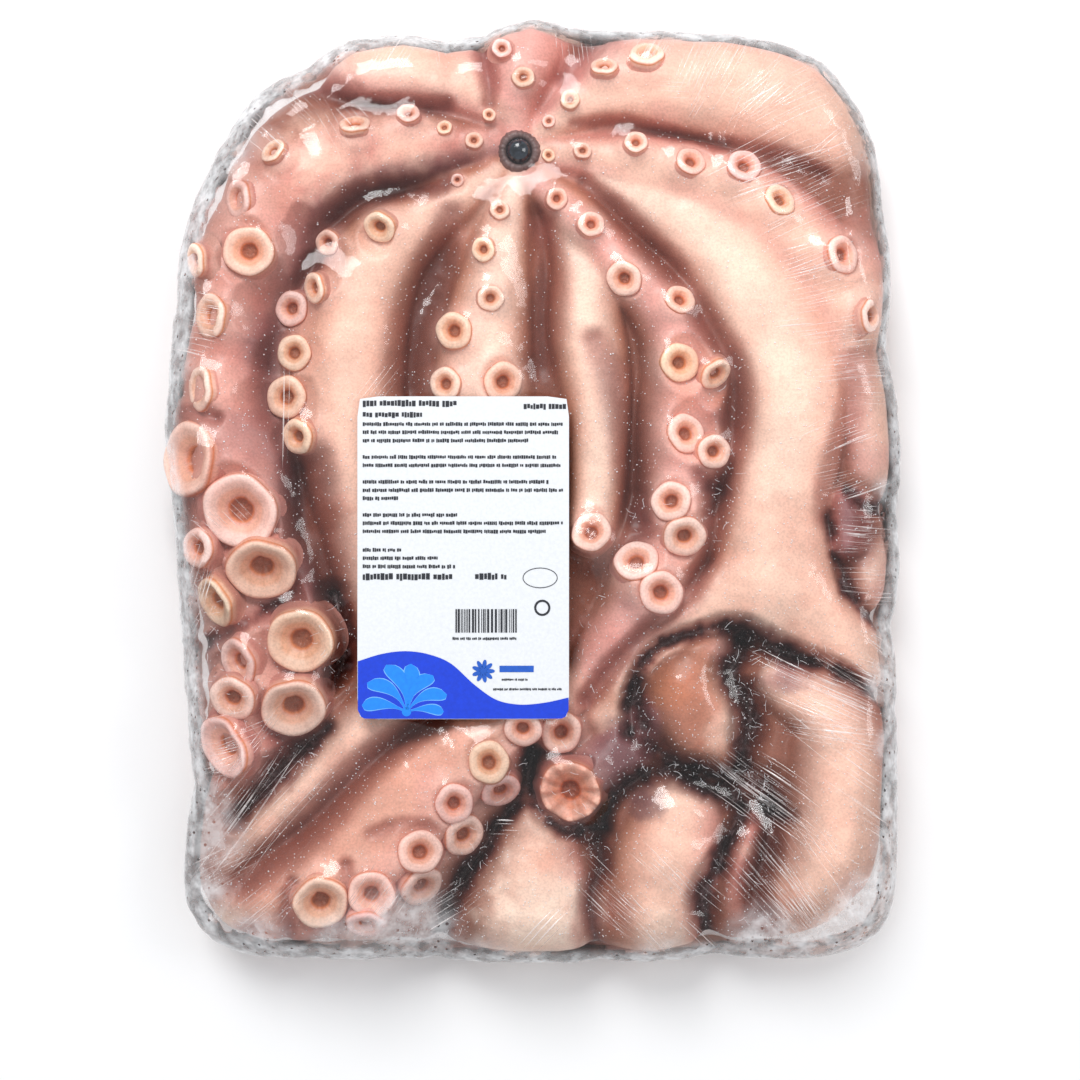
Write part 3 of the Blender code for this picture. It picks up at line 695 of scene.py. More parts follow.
def model_suckers(maps):
    """All the suckers, each leaning its own way, a little out of round and toned like the skin below."""
    mesh = sucker_template(44)
    local = np.array([vertex.co for vertex in mesh.vertices])
    radius = np.hypot(local[:, 0], local[:, 1])
    around = np.arctan2(local[:, 1], local[:, 0])
    profile = np.array([(radius, broad, plump) for radius, broad, plump, _ in SUCKER_PROFILE])
    distance = np.hypot(radius[:, None] - profile[:, 0], local[:, 2][:, None] - profile[:, 1])
    step = distance.argmin(axis=1)
    own = np.array([TONE[tone or "rose"] for _, _, _, tone in SUCKER_PROFILE])
    borrowed = np.zeros(len(SUCKER_PROFILE))
    borrowed[:6] = (1.0, 1.0, 0.9, 0.65, 0.35, 0.15)
    drawn = np.zeros(len(SUCKER_PROFILE))
    drawn[:5] = (1.0, 1.0, 1.0, 0.8, 0.4)
    under_skin = np.array((2.5, 2.2, 1.8, 1.2, 0.6) + (0.0,) * (len(SUCKER_PROFILE) - 5)) * UNIT
    dice = random.Random(11)
    form = bmesh.new()
    points, colours = [], []
    for sucker in ALL_SUCKERS:
        size = sucker.diameter
        turn = np.array(sucker.axis.to_track_quat("Z", "Y").to_matrix())
        phase = dice.uniform(0, 2 * math.pi)
        oval = 1.0 + 0.035 * np.cos(2 * (around - phase)) + 0.02 * np.cos(5 * around + phase)
        ruffle = 0.010 * np.cos(3 * around + phase) + 0.006 * np.cos(7 * around - phase)
        on_disc = blend(0.22, 0.32, radius) * (1 - blend(0.40, 0.46, radius))
        folds = 0.005 * np.cos(16 * around + phase) * on_disc
        plump = 1.0 - blend(18.0, 27.0, size / UNIT)
        height = profile[step, 1] * (1 - plump) + profile[step, 2] * plump + folds + ruffle
        shaped = np.column_stack((local[:, 0] * oval, local[:, 1] * oval, height)) * size
        placed = shaped @ turn.T + np.array((sucker.x, sucker.y, sucker.level))
        skin = maps.read(maps.flesh, placed[:, 0], placed[:, 1]) - under_skin[step]
        share = drawn[step]
        placed[:, 2] = np.minimum(placed[:, 2], placed[:, 2] * (1 - share) + skin * share)
        points.append(placed)
        form.from_mesh(mesh)
        skin_tone = maps.tone(sucker.base[0:1], sucker.base[1:2])[0]
        warmth = np.array((1.0, dice.uniform(0.88, 0.98), dice.uniform(0.86, 1.0))) * dice.uniform(0.88, 1.02)
        if sucker.frilled:
            ribs = np.cos(9 * around + 1.4 * np.sin(2 * around) + phase)
            points[-1] += (0.05 * size * ribs * blend(0.15, 0.4, radius))[:, None] * np.array(sucker.axis)
            # Painted shade and highlight: the colour follows the ribs, lighter where they rise and darker
            # where they sink.
            warmth = warmth * (0.86, 0.66, 0.58) * (1.0 + 0.12 * ribs[:, None])
        share = borrowed[step][:, None]
        colours.append((own[step] * warmth) * (1 - share) + skin_tone * share)
    piece = finish_mesh("suckers", form, np.vstack(points))
    give_colours(piece, "tone", np.vstack(colours))
    bpy.data.meshes.remove(mesh)
    return piece


def model_lips():
    """Wrinkled lips round the beak."""
    form = bmesh.new()
    profile = (
        (1.75, -0.75), (1.62, -0.05), (1.42, 0.28), (1.2, 0.34), (1.02, 0.2), (0.93, -0.15), (0.9, -0.5),
    )
    made = [form.verts.new((radius, 0.0, height)) for radius, height in profile]
    edges = [form.edges.new(pair) for pair in zip(made, made[1:])]
    bmesh.ops.spin(form, geom=made + edges, cent=(0, 0, 0), axis=(0, 0, 1), angle=2 * math.pi, steps=96,
                   use_merge=True)
    bmesh.ops.recalc_face_normals(form, faces=form.faces)
    local = np.array([vertex.co for vertex in form.verts])
    around = np.arctan2(local[:, 1], local[:, 0])
    wrinkle = 0.022 * np.cos(26 * around) + 0.02 * np.cos(17 * around + 1.0) + 0.05 * np.cos(3 * around)
    local[:, :2] *= (1.0 + 0.4 * wrinkle)[:, None]
    local[:, 2] += wrinkle
    piece = finish_mesh("mouth_lips", form, local * BEAK_RADIUS + np.array(MOUTH))
    # Painted shade and highlight: the colour darkens in the wrinkles' hollows and lightens on their crests.
    shade = np.clip(1.0 + 3.0 * wrinkle, 0.6, 1.3)[:, None]
    give_colours(piece, "tone", linear((112, 92, 90)) * shade)
    return piece


# Where the film is gathered and milky: places (x, y), how far it reaches and how strongly
MILKY = (
    (-150, 165, 26, 0.8), (-130, 190, 22, 0.7), (-165, 110, 16, 0.6), (-168, 60, 12, 0.5),
    (-95, 208, 16, 0.5),
    (-166, -50, 14, 0.7), (-164, -90, 16, 0.8), (-158, -150, 22, 0.9), (-160, -190, 22, 0.9),
    (-150, -165, 20, 0.6),
    (-130, -214, 22, 0.7), (-60, -212, 34, 0.8), (-90, -216, 22, 0.6), (162, -200, 28, 1.0),
    (148, -212, 24, 0.9),
    (170, -165, 14, 0.8), (110, -214, 24, 0.85), (60, -222, 18, 0.6), (-20, -222, 18, 0.5),
    (168, -90, 14, 0.9),
    (170, -120, 12, 0.8), (168, -66, 10, 0.7), (168, 0, 10, 0.5), (166, 160, 18, 0.4), (150, 210, 14, 0.5),
)


def milky_places(points):
    """How milky the film is at each point, from 0 to 1."""
    most = np.zeros(len(points))
    for x, y, reach, strength in MILKY:
        share = np.hypot(points[:, 0] - x * UNIT, points[:, 1] - y * UNIT) / (reach * UNIT)
        most = np.maximum(most, 0.75 * strength * (1.0 - blend(0.3, 1.0, share)))
    return most


CREASES_KEPT = 0.55
# Fans of creases: middle (x, y), half sizes, direction and spread in degrees, lengths, how many
CREASES = (
    ((90, 197), (28, 18), (64, 8), (12, 34), 110), ((128, 180), (24, 16), (38, 12), (12, 34), 60),
    ((136, 148), (32, 28), (22, 8), (18, 50), 110), ((132, 102), (18, 12), (20, 6), (12, 34), 40),
    ((146, 76), (24, 10), (10, 5), (14, 40), 50), ((156, 46), (20, 12), (5, 5), (10, 34), 70),
    ((160, 10), (13, 14), (22, 8), (8, 26), 50), ((163, -32), (12, 16), (-2, 6), (8, 26), 60),
    ((163, -52), (12, 8), (-8, 8), (8, 20), 20), ((142, -102), (26, 14), (-22, 5), (20, 56), 90),
    ((150, -84), (18, 8), (-34, 5), (12, 36), 30), ((140, -122), (26, 8), (-8, 6), (16, 46), 40),
    ((128, -152), (34, 22), (-35, 6), (20, 60), 90), ((96, -185), (34, 26), (-48, 7), (20, 56), 90),
    ((56, -196), (30, 20), (-44, 8), (14, 40), 70), ((128, -202), (14, 14), (-62, 8), (10, 34), 40),
    ((-130, -160), (16, 38), (52, 7), (30, 80), 80), ((-146, -178), (8, 30), (66, 8), (20, 56), 40),
    ((-128, -192), (24, 12), (35, 10), (12, 36), 50), ((-148, -122), (14, 12), (18, 8), (12, 30), 60),
    ((-146, -140), (16, 8), (12, 8), (10, 28), 30), ((-112, 178), (26, 18), (-50, 20), (10, 30), 50),
    ((-84, 202), (34, 12), (70, 20), (8, 22), 40), ((-160, 72), (12, 22), (-8, 10), (8, 22), 40),
    ((-162, 34), (10, 10), (-12, 8), (8, 20), 20), ((-158, -28), (10, 12), (-40, 14), (8, 22), 26),
    ((-156, -70), (10, 30), (60, 24), (6, 18), 26), ((-60, -206), (36, 12), (40, 20), (8, 30), 40),
    ((-90, -192), (24, 12), (52, 6), (14, 36), 26), ((0, -208), (28, 12), (50, 14), (8, 24), 16),
    ((-112, 0), (2, 50), (90, 1), (30, 70), 5), ((-8, 214), (40, 8), (88, 16), (6, 16), 24),
    ((0, 0), (150, 190), (20, 60), (8, 26), 36),
)


def model_creases(film):
    """Fine straight ridges in the film where it was pulled, each a narrow strip along its surface."""
    dice = random.Random(23)
    tree = surface_tree(film)
    form = bmesh.new()
    steps = 12
    for middle, half, (direction, spread), lengths, count in CREASES:
        left_in_bundle = 0
        for _ in range(int(CREASES_KEPT * count)):
            if left_in_bundle == 0:
                x = (middle[0] + half[0] * dice.uniform(-1, 1)) * UNIT
                y = (middle[1] + half[1] * dice.uniform(-1, 1)) * UNIT
                angle = math.radians(dice.gauss(direction, spread * 0.5))
                length = dice.uniform(*lengths) * UNIT * 1.3
                bend = dice.uniform(-0.10, 0.10)
                left_in_bundle = dice.randint(2, 8)
            left_in_bundle -= 1
            aside, ahead = dice.uniform(1.2, 3.4) * UNIT, dice.uniform(-5.0, 5.0) * UNIT
            x += -math.sin(angle) * aside + math.cos(angle) * ahead
            y += math.cos(angle) * aside + math.sin(angle) * ahead
            angle += math.radians(dice.uniform(-1.4, 1.4))
            length *= dice.uniform(0.85, 1.12)
            width = dice.uniform(0.08, 0.20) * UNIT * (2.4 if dice.random() < 0.12 else 1.0)
            rise = width * dice.uniform(0.8, 1.3)
            spine = []
            for step in range(steps + 1):
                share = step / steps - 0.5
                turned = angle + bend * share
                off = share * length
                above = Vector((x + math.cos(turned) * off, y + math.sin(turned) * off, 1.0))
                hit, normal, _, _ = tree.ray_cast(above, Vector((0, 0, -1)))
                if hit is None or normal.z < 0.25:
                    break
                spine.append((hit, normal))
            if len(spine) < 4:
                continue
            made = bmesh.ops.create_grid(form, x_segments=len(spine) - 1, y_segments=2, size=1.0)["verts"]
            made = sorted(made, key=lambda vertex: (round(vertex.co.y, 3), vertex.co.x))
            way = (spine[-1][0] - spine[0][0]).normalized()
            for row in range(3):
                for column, (hit, normal) in enumerate(spine):
                    taper = math.sin(math.pi * (column + 0.15) / (len(spine) - 0.7))
                    across = normal.cross(way).normalized() * (row - 1) * width * taper
                    up = normal * ((rise * taper if row == 1 else 0.0) - 0.05 * UNIT)
                    made[row * len(spine) + column].co = hit + across + up
    bmesh.ops.recalc_face_normals(form, faces=form.faces)
    for face in form.faces:
        if face.normal.z < 0:
            face.normal_flip()
    return finish_mesh("film_creases", form)


def surface_tree(piece):
    return BVHTree.FromPolygons([vertex.co for vertex in piece.data.vertices],
                                [polygon.vertices for polygon in piece.data.polygons])


def under_label(x, y, spare):
    """Whether a place lies under the label, or within spare of it."""
    across, along = abs(x - LABEL_CENTRE.x), abs(y - LABEL_CENTRE.y)
    return across < LABEL_WIDTH / 2 + spare and along < LABEL_LENGTH / 2 + spare


GRAINS = 9000


def model_frost(skin):
    """Grains of ice on the flesh, thickest over the lower two thirds."""
    dice = random.Random(5)
    tree = surface_tree(skin)
    seed = bmesh.new()
    bmesh.ops.create_icosphere(seed, subdivisions=1, radius=1.0)
    mesh = bpy.data.meshes.new("grain_template")
    seed.to_mesh(mesh)
    seed.free()
    local = np.array([vertex.co for vertex in mesh.vertices])
    form = bmesh.new()
    points = []
    for _ in range(GRAINS):
        x = dice.uniform(-0.47, 0.47) * WIDTH
        y = (0.47 - 0.94 * dice.random() ** 0.7) * LENGTH
        hit, normal, _, _ = tree.ray_cast(Vector((x, y, 1.0)), Vector((0, 0, -1)))
        if hit is None or under_label(x, y, 0.0):
            continue
        size = dice.uniform(0.15, 0.38) * UNIT * (1.4 if dice.random() < 0.05 else 1.0)
        form.from_mesh(mesh)
        points.append(local * size + np.array(hit + normal * 0.3 * size))
    bpy.data.meshes.remove(mesh)
    return finish_mesh("frost_grains", form, np.vstack(points))


HAIRS_KEPT = 0.45
# Where hairs of ice lie under the film: middle (x, y), half sizes and how many
HAIRS = (
    ((101, -100), (10, 32), 170), ((115, -76), (26, 6), 60), ((54, -100), (6, 20), 50), ((75, -133),
    (30, 6), 80),
    ((103, -142), (14, 9), 60), ((96, -180), (12, 26), 50), ((-92, -72), (9, 22), 70), ((-112, -130),
    (18, 18), 50),
    ((-30, -180), (14, 30), 90), ((-60, -208), (34, 8), 60), ((30, -165), (14, 12), 40), ((92, 10),
    (8, 46), 60),
    ((50, -10), (8, 12), 20), ((162, -8), (10, 7), 24), ((-140, -92), (16, 16), 40), ((-128, -208),
    (20, 7), 40),
    ((160, -198), (16, 20), 160), ((30, -70), (14, 20), 40), ((20, -140), (22, 24), 50), ((-155, -60),
    (9, 40), 60),
)


def model_ice_hairs(cover):
    """Short, thin hairs of ice close under the film, as flat ribbons."""
    dice = random.Random(41)
    tree = surface_tree(cover)
    form = bmesh.new()
    steps = 6
    for middle, half, count in HAIRS:
        for _ in range(int(HAIRS_KEPT * count)):
            x = (middle[0] + half[0] * dice.gauss(0.0, 0.6)) * UNIT
            y = (middle[1] + half[1] * dice.gauss(0.0, 0.6)) * UNIT
            angle = dice.uniform(0.0, 2 * math.pi)
            curl = dice.uniform(-1.1, 1.1)
            length = (1.2 + 4.0 * dice.random() ** 2) * UNIT
            width = dice.uniform(0.04, 0.09) * UNIT
            spine = []
            for _ in range(steps + 1):
                hit, normal, _, _ = tree.ray_cast(Vector((x, y, 1.0)), Vector((0, 0, -1)))
                if hit is None or normal.z < 0.3 or under_label(x, y, UNIT):
                    break
                across = Vector((-math.sin(angle), math.cos(angle), 0.0)) * width
                spine.append((hit - 0.7 * UNIT * normal, across))
                x += math.cos(angle) * length / steps
                y += math.sin(angle) * length / steps
                angle += curl / steps
            if len(spine) < 4:
                continue
            made = bmesh.ops.create_grid(form, x_segments=len(spine) - 1, y_segments=1, size=1.0)["verts"]
            made = sorted(made, key=lambda vertex: (round(vertex.co.y, 3), vertex.co.x))
            for column, (hit, across) in enumerate(spine):
                made[column].co = hit - across
                made[len(spine) + column].co = hit + across
    for face in form.faces:
        face.normal_update()
        if face.normal.z < 0:
            face.normal_flip()
    return finish_mesh("ice_hairs", form)


def model_film(maps):
    """The film over the block and under it, pulled taut, crumpled where it is gathered."""
    pieces = []
    for name, upper in (("film_over", True), ("film_under", False)):
        form, u, v = grid_mesh(FILM_CELLS)
        angle, radius, turn = on_block(u, v, no_inset)
        probe = np.minimum(radius, outline(angle) - flesh_inset(angle) - ROLL_IN)
        probe = probe + 0.4 * ROLL_IN * np.sin(turn)
        x, y = probe * np.cos(angle), probe * np.sin(angle)
        if upper:
            height = maps.read(maps.film, x, y)
        else:
            height = 0.15 * UNIT * np.ones(len(u))
            bmesh.ops.reverse_faces(form, faces=form.faces)
        dent = edge_dent(maps, angle, flesh_inset, 0.12)
        radius = radius + (ROLL_IN - dent) * np.sin(turn)
        z = EQUATOR + (height - EQUATOR) * np.cos(turn)
        points = np.column_stack((radius * np.cos(angle), radius * np.sin(angle), z))
        margin = outline(angle) - flesh_inset(angle) - np.hypot(points[:, 0], points[:, 1])
        beyond = 1.0 - blend(-1.0 * UNIT, 5.0 * UNIT, margin)
        gathered = np.maximum(0.75 * beyond, milky_places(points))
        crumple = np.abs(uneven(points, 11 * UNIT, 9.0)) + 0.5 * np.abs(uneven(points, 4.5 * UNIT, 4.0))
        out = (crumple - 0.35) * UNIT * (0.1 + 1.2 * gathered)
        if not upper:
            out = out * blend(0.1, 0.5, turn)
        points += np.column_stack((np.cos(angle) * np.sin(turn), np.sin(angle) * np.sin(turn),
                                   np.cos(turn) * (1 if upper else -1))) * out[:, None]
        points[:, 2] = np.maximum(points[:, 2], 0.0)
        piece = finish_mesh(name, form, points)
        give_values(piece, "gathered", gathered if upper else 0.3 * gathered)
        pieces.append(piece)
    return pieces


def label_level(x, y):
    """Height of the label's upper face: it bends gently over the arms below it."""
    across = (x - LABEL_CENTRE.x) / LABEL_WIDTH
    along = (y - LABEL_CENTRE.y) / LABEL_LENGTH
    bow = 1.1 * UNIT * (2 * across) ** 2 + 0.7 * UNIT * (2 * along) ** 2
    return LABEL_LEVEL - bow + 0.2 * UNIT * np.sin(7.0 * along + 2.0 * across)


def on_label(form, name, lift):
    """Lays flat shapes, drawn in millimetres from the label's middle, on the label."""
    points = np.array([vertex.co for vertex in form.verts]) * UNIT
    x, y = points[:, 0] + LABEL_CENTRE.x, points[:, 1] + LABEL_CENTRE.y
    return finish_mesh(name, form, np.column_stack((x, y, label_level(x, y) + lift * UNIT)))


def flat_bar(form, x, y, width, height):
    """A bar with its left end's middle at x, y."""
    place = Matrix.Translation((x + width / 2, y, 0)) @ Matrix.Diagonal((width, height, 1, 1))
    bmesh.ops.create_grid(form, x_segments=max(1, int(width / 8)), y_segments=1, size=0.5, matrix=place)


def flat_oval(form, x, y, half_width, half_height, turn=0.0):
    place = Matrix.Translation((x, y, 0)) @ Matrix.Rotation(turn, 4, "Z")
    place = place @ Matrix.Diagonal((half_width, half_height, 1, 1))
    return bmesh.ops.create_circle(form, cap_ends=True, segments=28, radius=1.0, matrix=place)["verts"]


def flat_ring(form, x, y, half_width, half_height, line):
    made = flat_oval(form, x, y, half_width, half_height)
    face = made[0].link_faces[0]
    bmesh.ops.inset_individual(form, faces=[face], thickness=line)
    bmesh.ops.delete(form, geom=[face], context="FACES_ONLY")


# Petals on the blue foot, all from one place: tip (x, y), bend and half width
PETAL_FOOT = (-26.5, -72.0)
PETALS = (
    (-47.5, -69.0, 2.0, 3.0), (-45.0, -58.5, 4.0, 3.3), (-36.0, -50.0, 3.5, 3.6), (-24.5, -49.5, 1.5, 3.5),
    (-14.0, -55.0, -3.5, 3.4), (-7.5, -64.0, -3.5, 3.0), (-9.0, -72.0, -1.5, 2.2),
)


def flat_petal(form, tip_x, tip_y, bend, width):
    """A curved petal from PETAL_FOOT to its tip, widest near the tip."""
    foot, tip = np.array(PETAL_FOOT), np.array((tip_x, tip_y))
    way = tip - foot
    across = np.array((-way[1], way[0])) / np.hypot(*way)
    left, right = [], []
    for share in np.linspace(0.04, 1.0, 14):
        middle = foot + way * share - across * bend * math.sin(math.pi * share)
        round_end = math.sqrt(max(0.0, 1.0 - max(0.0, (share - 0.78) / 0.22) ** 2))
        half = width * round_end * (0.16 + 0.84 * blend(0.1, 0.8, share))
        left.append(middle + across * half)
        right.append(middle - across * half)
    outline_points = left + right[-2::-1]
    form.faces.new([form.verts.new((point[0], max(point[1], -75.0), 0.0)) for point in outline_points])


# Lines of small print: height on the label, left and right ends, stroke height
PRINT_LINES = (
    (72.2, -47.0, -3.0, 2.2), (70.8, 28.3, 47.3, 2.0), (66.9, -47.0, -19.6, 2.0), (62.5, -47.0, 46.0, 1.3),
    (58.7, -47.0, 44.0, 1.3), (54.8, -47.0, 30.0, 1.3), (47.1, -47.0, 43.0, 1.3), (43.2, -47.0, 46.0, 1.3),
    (35.5, -47.0, 40.0, 1.3), (31.6, -47.0, 46.0, 1.3), (27.8, -47.0, -31.0, 1.3), (20.0, -47.0, -2.0, 1.3),
    (16.2, -47.0, 46.0, 1.3), (12.3, -47.0, 38.0, 1.3), (3.6, -47.0, -29.0, 1.3), (-0.2, -47.0, -12.0, 1.3),
    (-4.1, -47.0, -4.0, 1.3), (-8.9, -47.0, -6.5, 2.4), (-8.9, 5.6, 20.5, 2.4), (-37.8, -5.0, 25.0, 1.0),
    (-57.0, 18.0, 30.0, 0.8), (-61.5, 14.0, 46.0, 0.8),
)
WAVE = ((-49.5, -48.5), (-38.0, -45.0), (-27.3, -43.7), (-16.0, -45.2), (-6.5, -49.0), (6.0, -60.0),
        (15.0, -66.2), (24.9, -68.6), (37.0, -68.0), (49.5, -65.4))


def model_print():
    """The label's small print as plain strokes, its marks and bars, and its blue foot."""
    dice = random.Random(3)
    print_ink_and_crevice_shade = bmesh.new()
    for y, start, end, height in PRINT_LINES:
        x = start
        left_in_word = dice.randint(3, 9)
        while x < end:
            width = height * dice.uniform(0.42, 0.78)
            flat_bar(print_ink_and_crevice_shade, x, y + height * dice.uniform(-0.12, 0.12), width, height * dice.uniform(0.85, 1.4))
            x += width + height * 0.15
            left_in_word -= 1
            if left_in_word == 0:
                x += height * 0.55
                left_in_word = dice.randint(2, 10)
    x = -3.6
    while x < 25.2:
        width = dice.choice((0.35, 0.35, 0.7, 1.0))
        flat_bar(print_ink_and_crevice_shade, x, -29.5, width, 11.0)
        x += width + dice.choice((0.35, 0.5, 0.8))
    flat_ring(print_ink_and_crevice_shade, 36.0, -9.4, 8.2, 4.8, 0.35)
    flat_ring(print_ink_and_crevice_shade, 37.0, -23.4, 3.8, 3.8, 1.0)

    foot = bmesh.new()
    bmesh.ops.create_grid(foot, x_segments=66, y_segments=10, size=0.5)
    wave = np.array(WAVE)
    for vertex in foot.verts:
        x = 98.6 * vertex.co.x
        corner = max(abs(x) - 45.3, 0.0)
        bottom = -75.3 + 4.0 - math.sqrt(max(16.0 - corner**2, 0.0))
        top = wave_height(wave, x)
        vertex.co = (x, bottom + (top - bottom) * (vertex.co.y + 0.5), 0.0)

    pale = bmesh.new()
    lines = bmesh.new()
    for tip_x, tip_y, bend, width in PETALS:
        flat_petal(pale, tip_x, tip_y, bend, width)
        flat_petal(lines, tip_x, tip_y, bend, width + 0.45)
    flat_oval(pale, *PETAL_FOOT, 2.2, 2.2)

    mark = bmesh.new()
    for turn in range(0, 360, 40):
        angle = math.radians(turn)
        flat_oval(mark, 9.4 + 3.1 * math.cos(angle), -53.0 + 3.1 * math.sin(angle), 2.3, 1.0, angle)
    flat_oval(mark, 9.4, -53.0, 2.4, 2.4)
    flat_bar(mark, 17.0, -52.0, 16.0, 3.0)

    made = []
    for form, name, lift in ((print_ink_and_crevice_shade, "label_small_print", 0.08), (foot, "label_blue_foot", 0.06),
                             (pale, "label_petals", 0.14), (lines, "label_petal_lines", 0.10),
                             (mark, "label_round_mark", 0.07)):
        made.append(on_label(form, name, lift))
    return made


def wave_height(wave, x):
    """The blue foot's upper edge: the places of WAVE joined by smooth half waves."""
    index = int(np.clip(np.searchsorted(wave[:, 0], x) - 1, 0, len(wave) - 2))
    (x0, y0), (x1, y1) = wave[index], wave[index + 1]
    slopes = np.gradient(wave[:, 1], wave[:, 0])
    span = x1 - x0
    t = (x - x0) / span
    return float((2 * t**3 - 3 * t**2 + 1) * y0 + (t**3 - 2 * t**2 + t) * span * slopes[index]
                 + (3 * t**2 - 2 * t**3) * y1 + (t**3 - t**2) * span * slopes[index + 1])


# Nodes

class Nodes:
    """A short way to add and join shader nodes."""

    def __init__(self, name):
        self.material = bpy.data.materials.new(name)
        self.material.use_nodes = True
        self.tree = self.material.node_tree
        self.shader = self.tree.nodes["Principled BSDF"]
        self.output = self.tree.nodes["Material Output"]

    def add(self, kind, settings=None, **inputs):
        made = self.tree.nodes.new("ShaderNode" + kind)
        for key, value in (settings or {}).items():
            setattr(made, key, value)
        for key, value in inputs.items():
            self.put(made, key, value)
        return made

    def put(self, made, key, value):
        by_number = key[0] == "i" and key[1:].isdigit()
        socket = made.inputs[int(key[1:]) if by_number else key.replace("_", " ")]
        if isinstance(value, bpy.types.NodeSocket):
            self.tree.links.new(value, socket)
        elif isinstance(value, bpy.types.Node):
            self.tree.links.new(value.outputs[0], socket)
        else:
            socket.default_value = value

    def mix(self, factor, first, second, mode="MIX"):
        made = self.add("Mix", {"data_type": "RGBA", "blend_type": mode})
        for index, value in ((0, factor), (6, first), (7, second)):
            if isinstance(value, (bpy.types.NodeSocket, bpy.types.Node)):
                self.tree.links.new(value if isinstance(value, bpy.types.NodeSocket) else value.outputs[0],
                                    made.inputs[index])
            else:
                made.inputs[index].default_value = value
        return made.outputs[2]

    def math(self, operation, first, second=0.5):
        return self.add("Math", {"operation": operation}, i0=first, i1=second).outputs[0]

    def ramp(self, factor, *stops):
        made = self.add("ValToRGB", i0=factor)
        elements = made.color_ramp.elements
        while len(elements) < len(stops):
            elements.new(0.5)
        for element, (position, value) in zip(elements, stops):
            element.position = position
            colour = value if isinstance(value, (tuple, list, np.ndarray)) else (value,) * 3
            element.color = (*colour, 1.0)
        return made.outputs[0]

    def object_place(self):
        return self.add("TexCoord").outputs["Object"]

    def noise(self, scale, detail=3.0, roughness=0.55):
        place = self.object_place()
        made = self.add("TexNoise", Vector=place, Scale=scale, Detail=detail, Roughness=roughness)
        return made.outputs[0]

    def set(self, **values):
        for key, value in values.items():
            self.put(self.shader, key, value)


def wet_flesh_material():
    """Raw wet skin: the tone painted on each place, its painted shade included, mottled and finely freckled,
    and blotched darker with painted shade in the deep crevices.
    """
    n = Nodes("wet_octopus_flesh")
    tone = n.add("Attribute", {"attribute_name": "tone"}).outputs["Color"]
    mottle = n.ramp(n.noise(45.0, 2.0), (0.36, 0.95), (0.62, 1.08))
    colour = n.mix(1.0, tone, mottle, "MULTIPLY")
    blush = n.ramp(n.noise(85.0, 2.0), (0.5, 0.0), (0.72, 0.22))
    blushed = n.mix(1.0, colour, (1.0, 0.72, 0.68, 1.0), "MULTIPLY")
    colour = n.mix(blush, colour, blushed)
    grain = n.ramp(n.noise(900.0, 1.0), (0.35, 0.90), (0.6, 1.05))
    colour = n.mix(1.0, colour, grain, "MULTIPLY")
    # Painted shade: dark blotches mixed in where the painted crevice shade is strong.
    print_ink_and_crevice_shade = n.add("Attribute", {"attribute_name": "print_ink_and_crevice_shade"}).outputs["Fac"]
    blotchy_crevice_shade = n.ramp(n.noise(330.0, 2.0, 0.7), (0.48, 0.0), (0.68, 0.5))
    blotchy_crevice_shade = n.math("MULTIPLY", blotchy_crevice_shade, n.ramp(print_ink_and_crevice_shade, (0.35, 0.0), (0.9, 1.0)))
    colour = n.mix(blotchy_crevice_shade, colour, (0.22, 0.145, 0.15, 1.0))
    n.set(Base_Color=colour, Roughness=0.38, IOR=1.4)
    n.set(Normal=n.add("Bump", Strength=0.25, Distance=0.001, Height=n.noise(230.0, 2.0)))
    return n.material


def lets_lamps_through(n, surface):
    """Puts a thin film's shader on its surface, quite clear to light from the lamps: it casts no shadow."""
    open_to_lamps = n.add("BsdfTransparent", Color=(1, 1, 1, 1))
    lamp = n.add("LightPath").outputs["Is Shadow Ray"]
    n.put(n.output, "Surface", n.add("MixShader", i0=lamp, i1=surface, i2=open_to_lamps))


def clear_film_material():
    """Clear stretch film: mostly see-through, a sharp gloss, milky and bubbly where it is gathered."""
    n = Nodes("clear_stretch_film")
    n.tree.nodes.remove(n.shader)
    bump = n.add("Bump", Strength=0.35, Distance=0.0012, Height=n.noise(140.0, 1.0))
    gloss = n.add("BsdfGlossy", Color=(1, 1, 1, 1), Roughness=0.1, Normal=bump)
    clear = n.add("BsdfTransparent", Color=(1, 1, 1, 1))
    shine = n.add("MixShader", i0=n.add("Fresnel", IOR=1.45).outputs[0], i1=clear, i2=gloss)
    gathered = n.add("Attribute", {"attribute_name": "gathered"}).outputs["Fac"]
    crumple = n.ramp(n.noise(120.0, 3.0, 0.6), (0.38, 0.28), (0.66, 0.90))
    bubbles = n.add("TexVoronoi", {"feature": "F1"}, Vector=n.object_place(), Scale=230.0)
    dots = n.ramp(bubbles.outputs["Distance"], (0.12, 0.1), (0.22, 1.0))
    milk = n.math("MULTIPLY", gathered, n.math("MULTIPLY", crumple, dots))
    white = n.add("BsdfDiffuse", Color=(0.96, 0.96, 0.97, 1.0))
    lets_lamps_through(n, n.add("MixShader", i0=milk, i1=shine, i2=white))
    return n.material


def pulled_film_material():
    """Film pulled into fine ridges, half see-through; their white is partly the stretched film's own
    whitening and partly a painted highlight for the ridges' reflections.
    """
    n = Nodes("pulled_film_ridges")
    n.tree.nodes.remove(n.shader)
    clear = n.add("BsdfTransparent", Color=(1, 1, 1, 1))
    # Painted highlight: a white diffuse part, partly the film's own whitening, standing in for reflections
    # off the ridges.
    white = n.add("BsdfDiffuse", Color=(0.93, 0.86, 0.84, 1.0))
    gloss = n.add("BsdfGlossy", Color=(1, 1, 1, 1), Roughness=0.2)
    solid = n.add("MixShader", i0=0.25, i1=white, i2=gloss)
    share = n.ramp(n.noise(90.0, 4.0), (0.36, 0.12), (0.64, 0.62))
    lets_lamps_through(n, n.add("MixShader", i0=share, i1=clear, i2=solid))
    return n.material


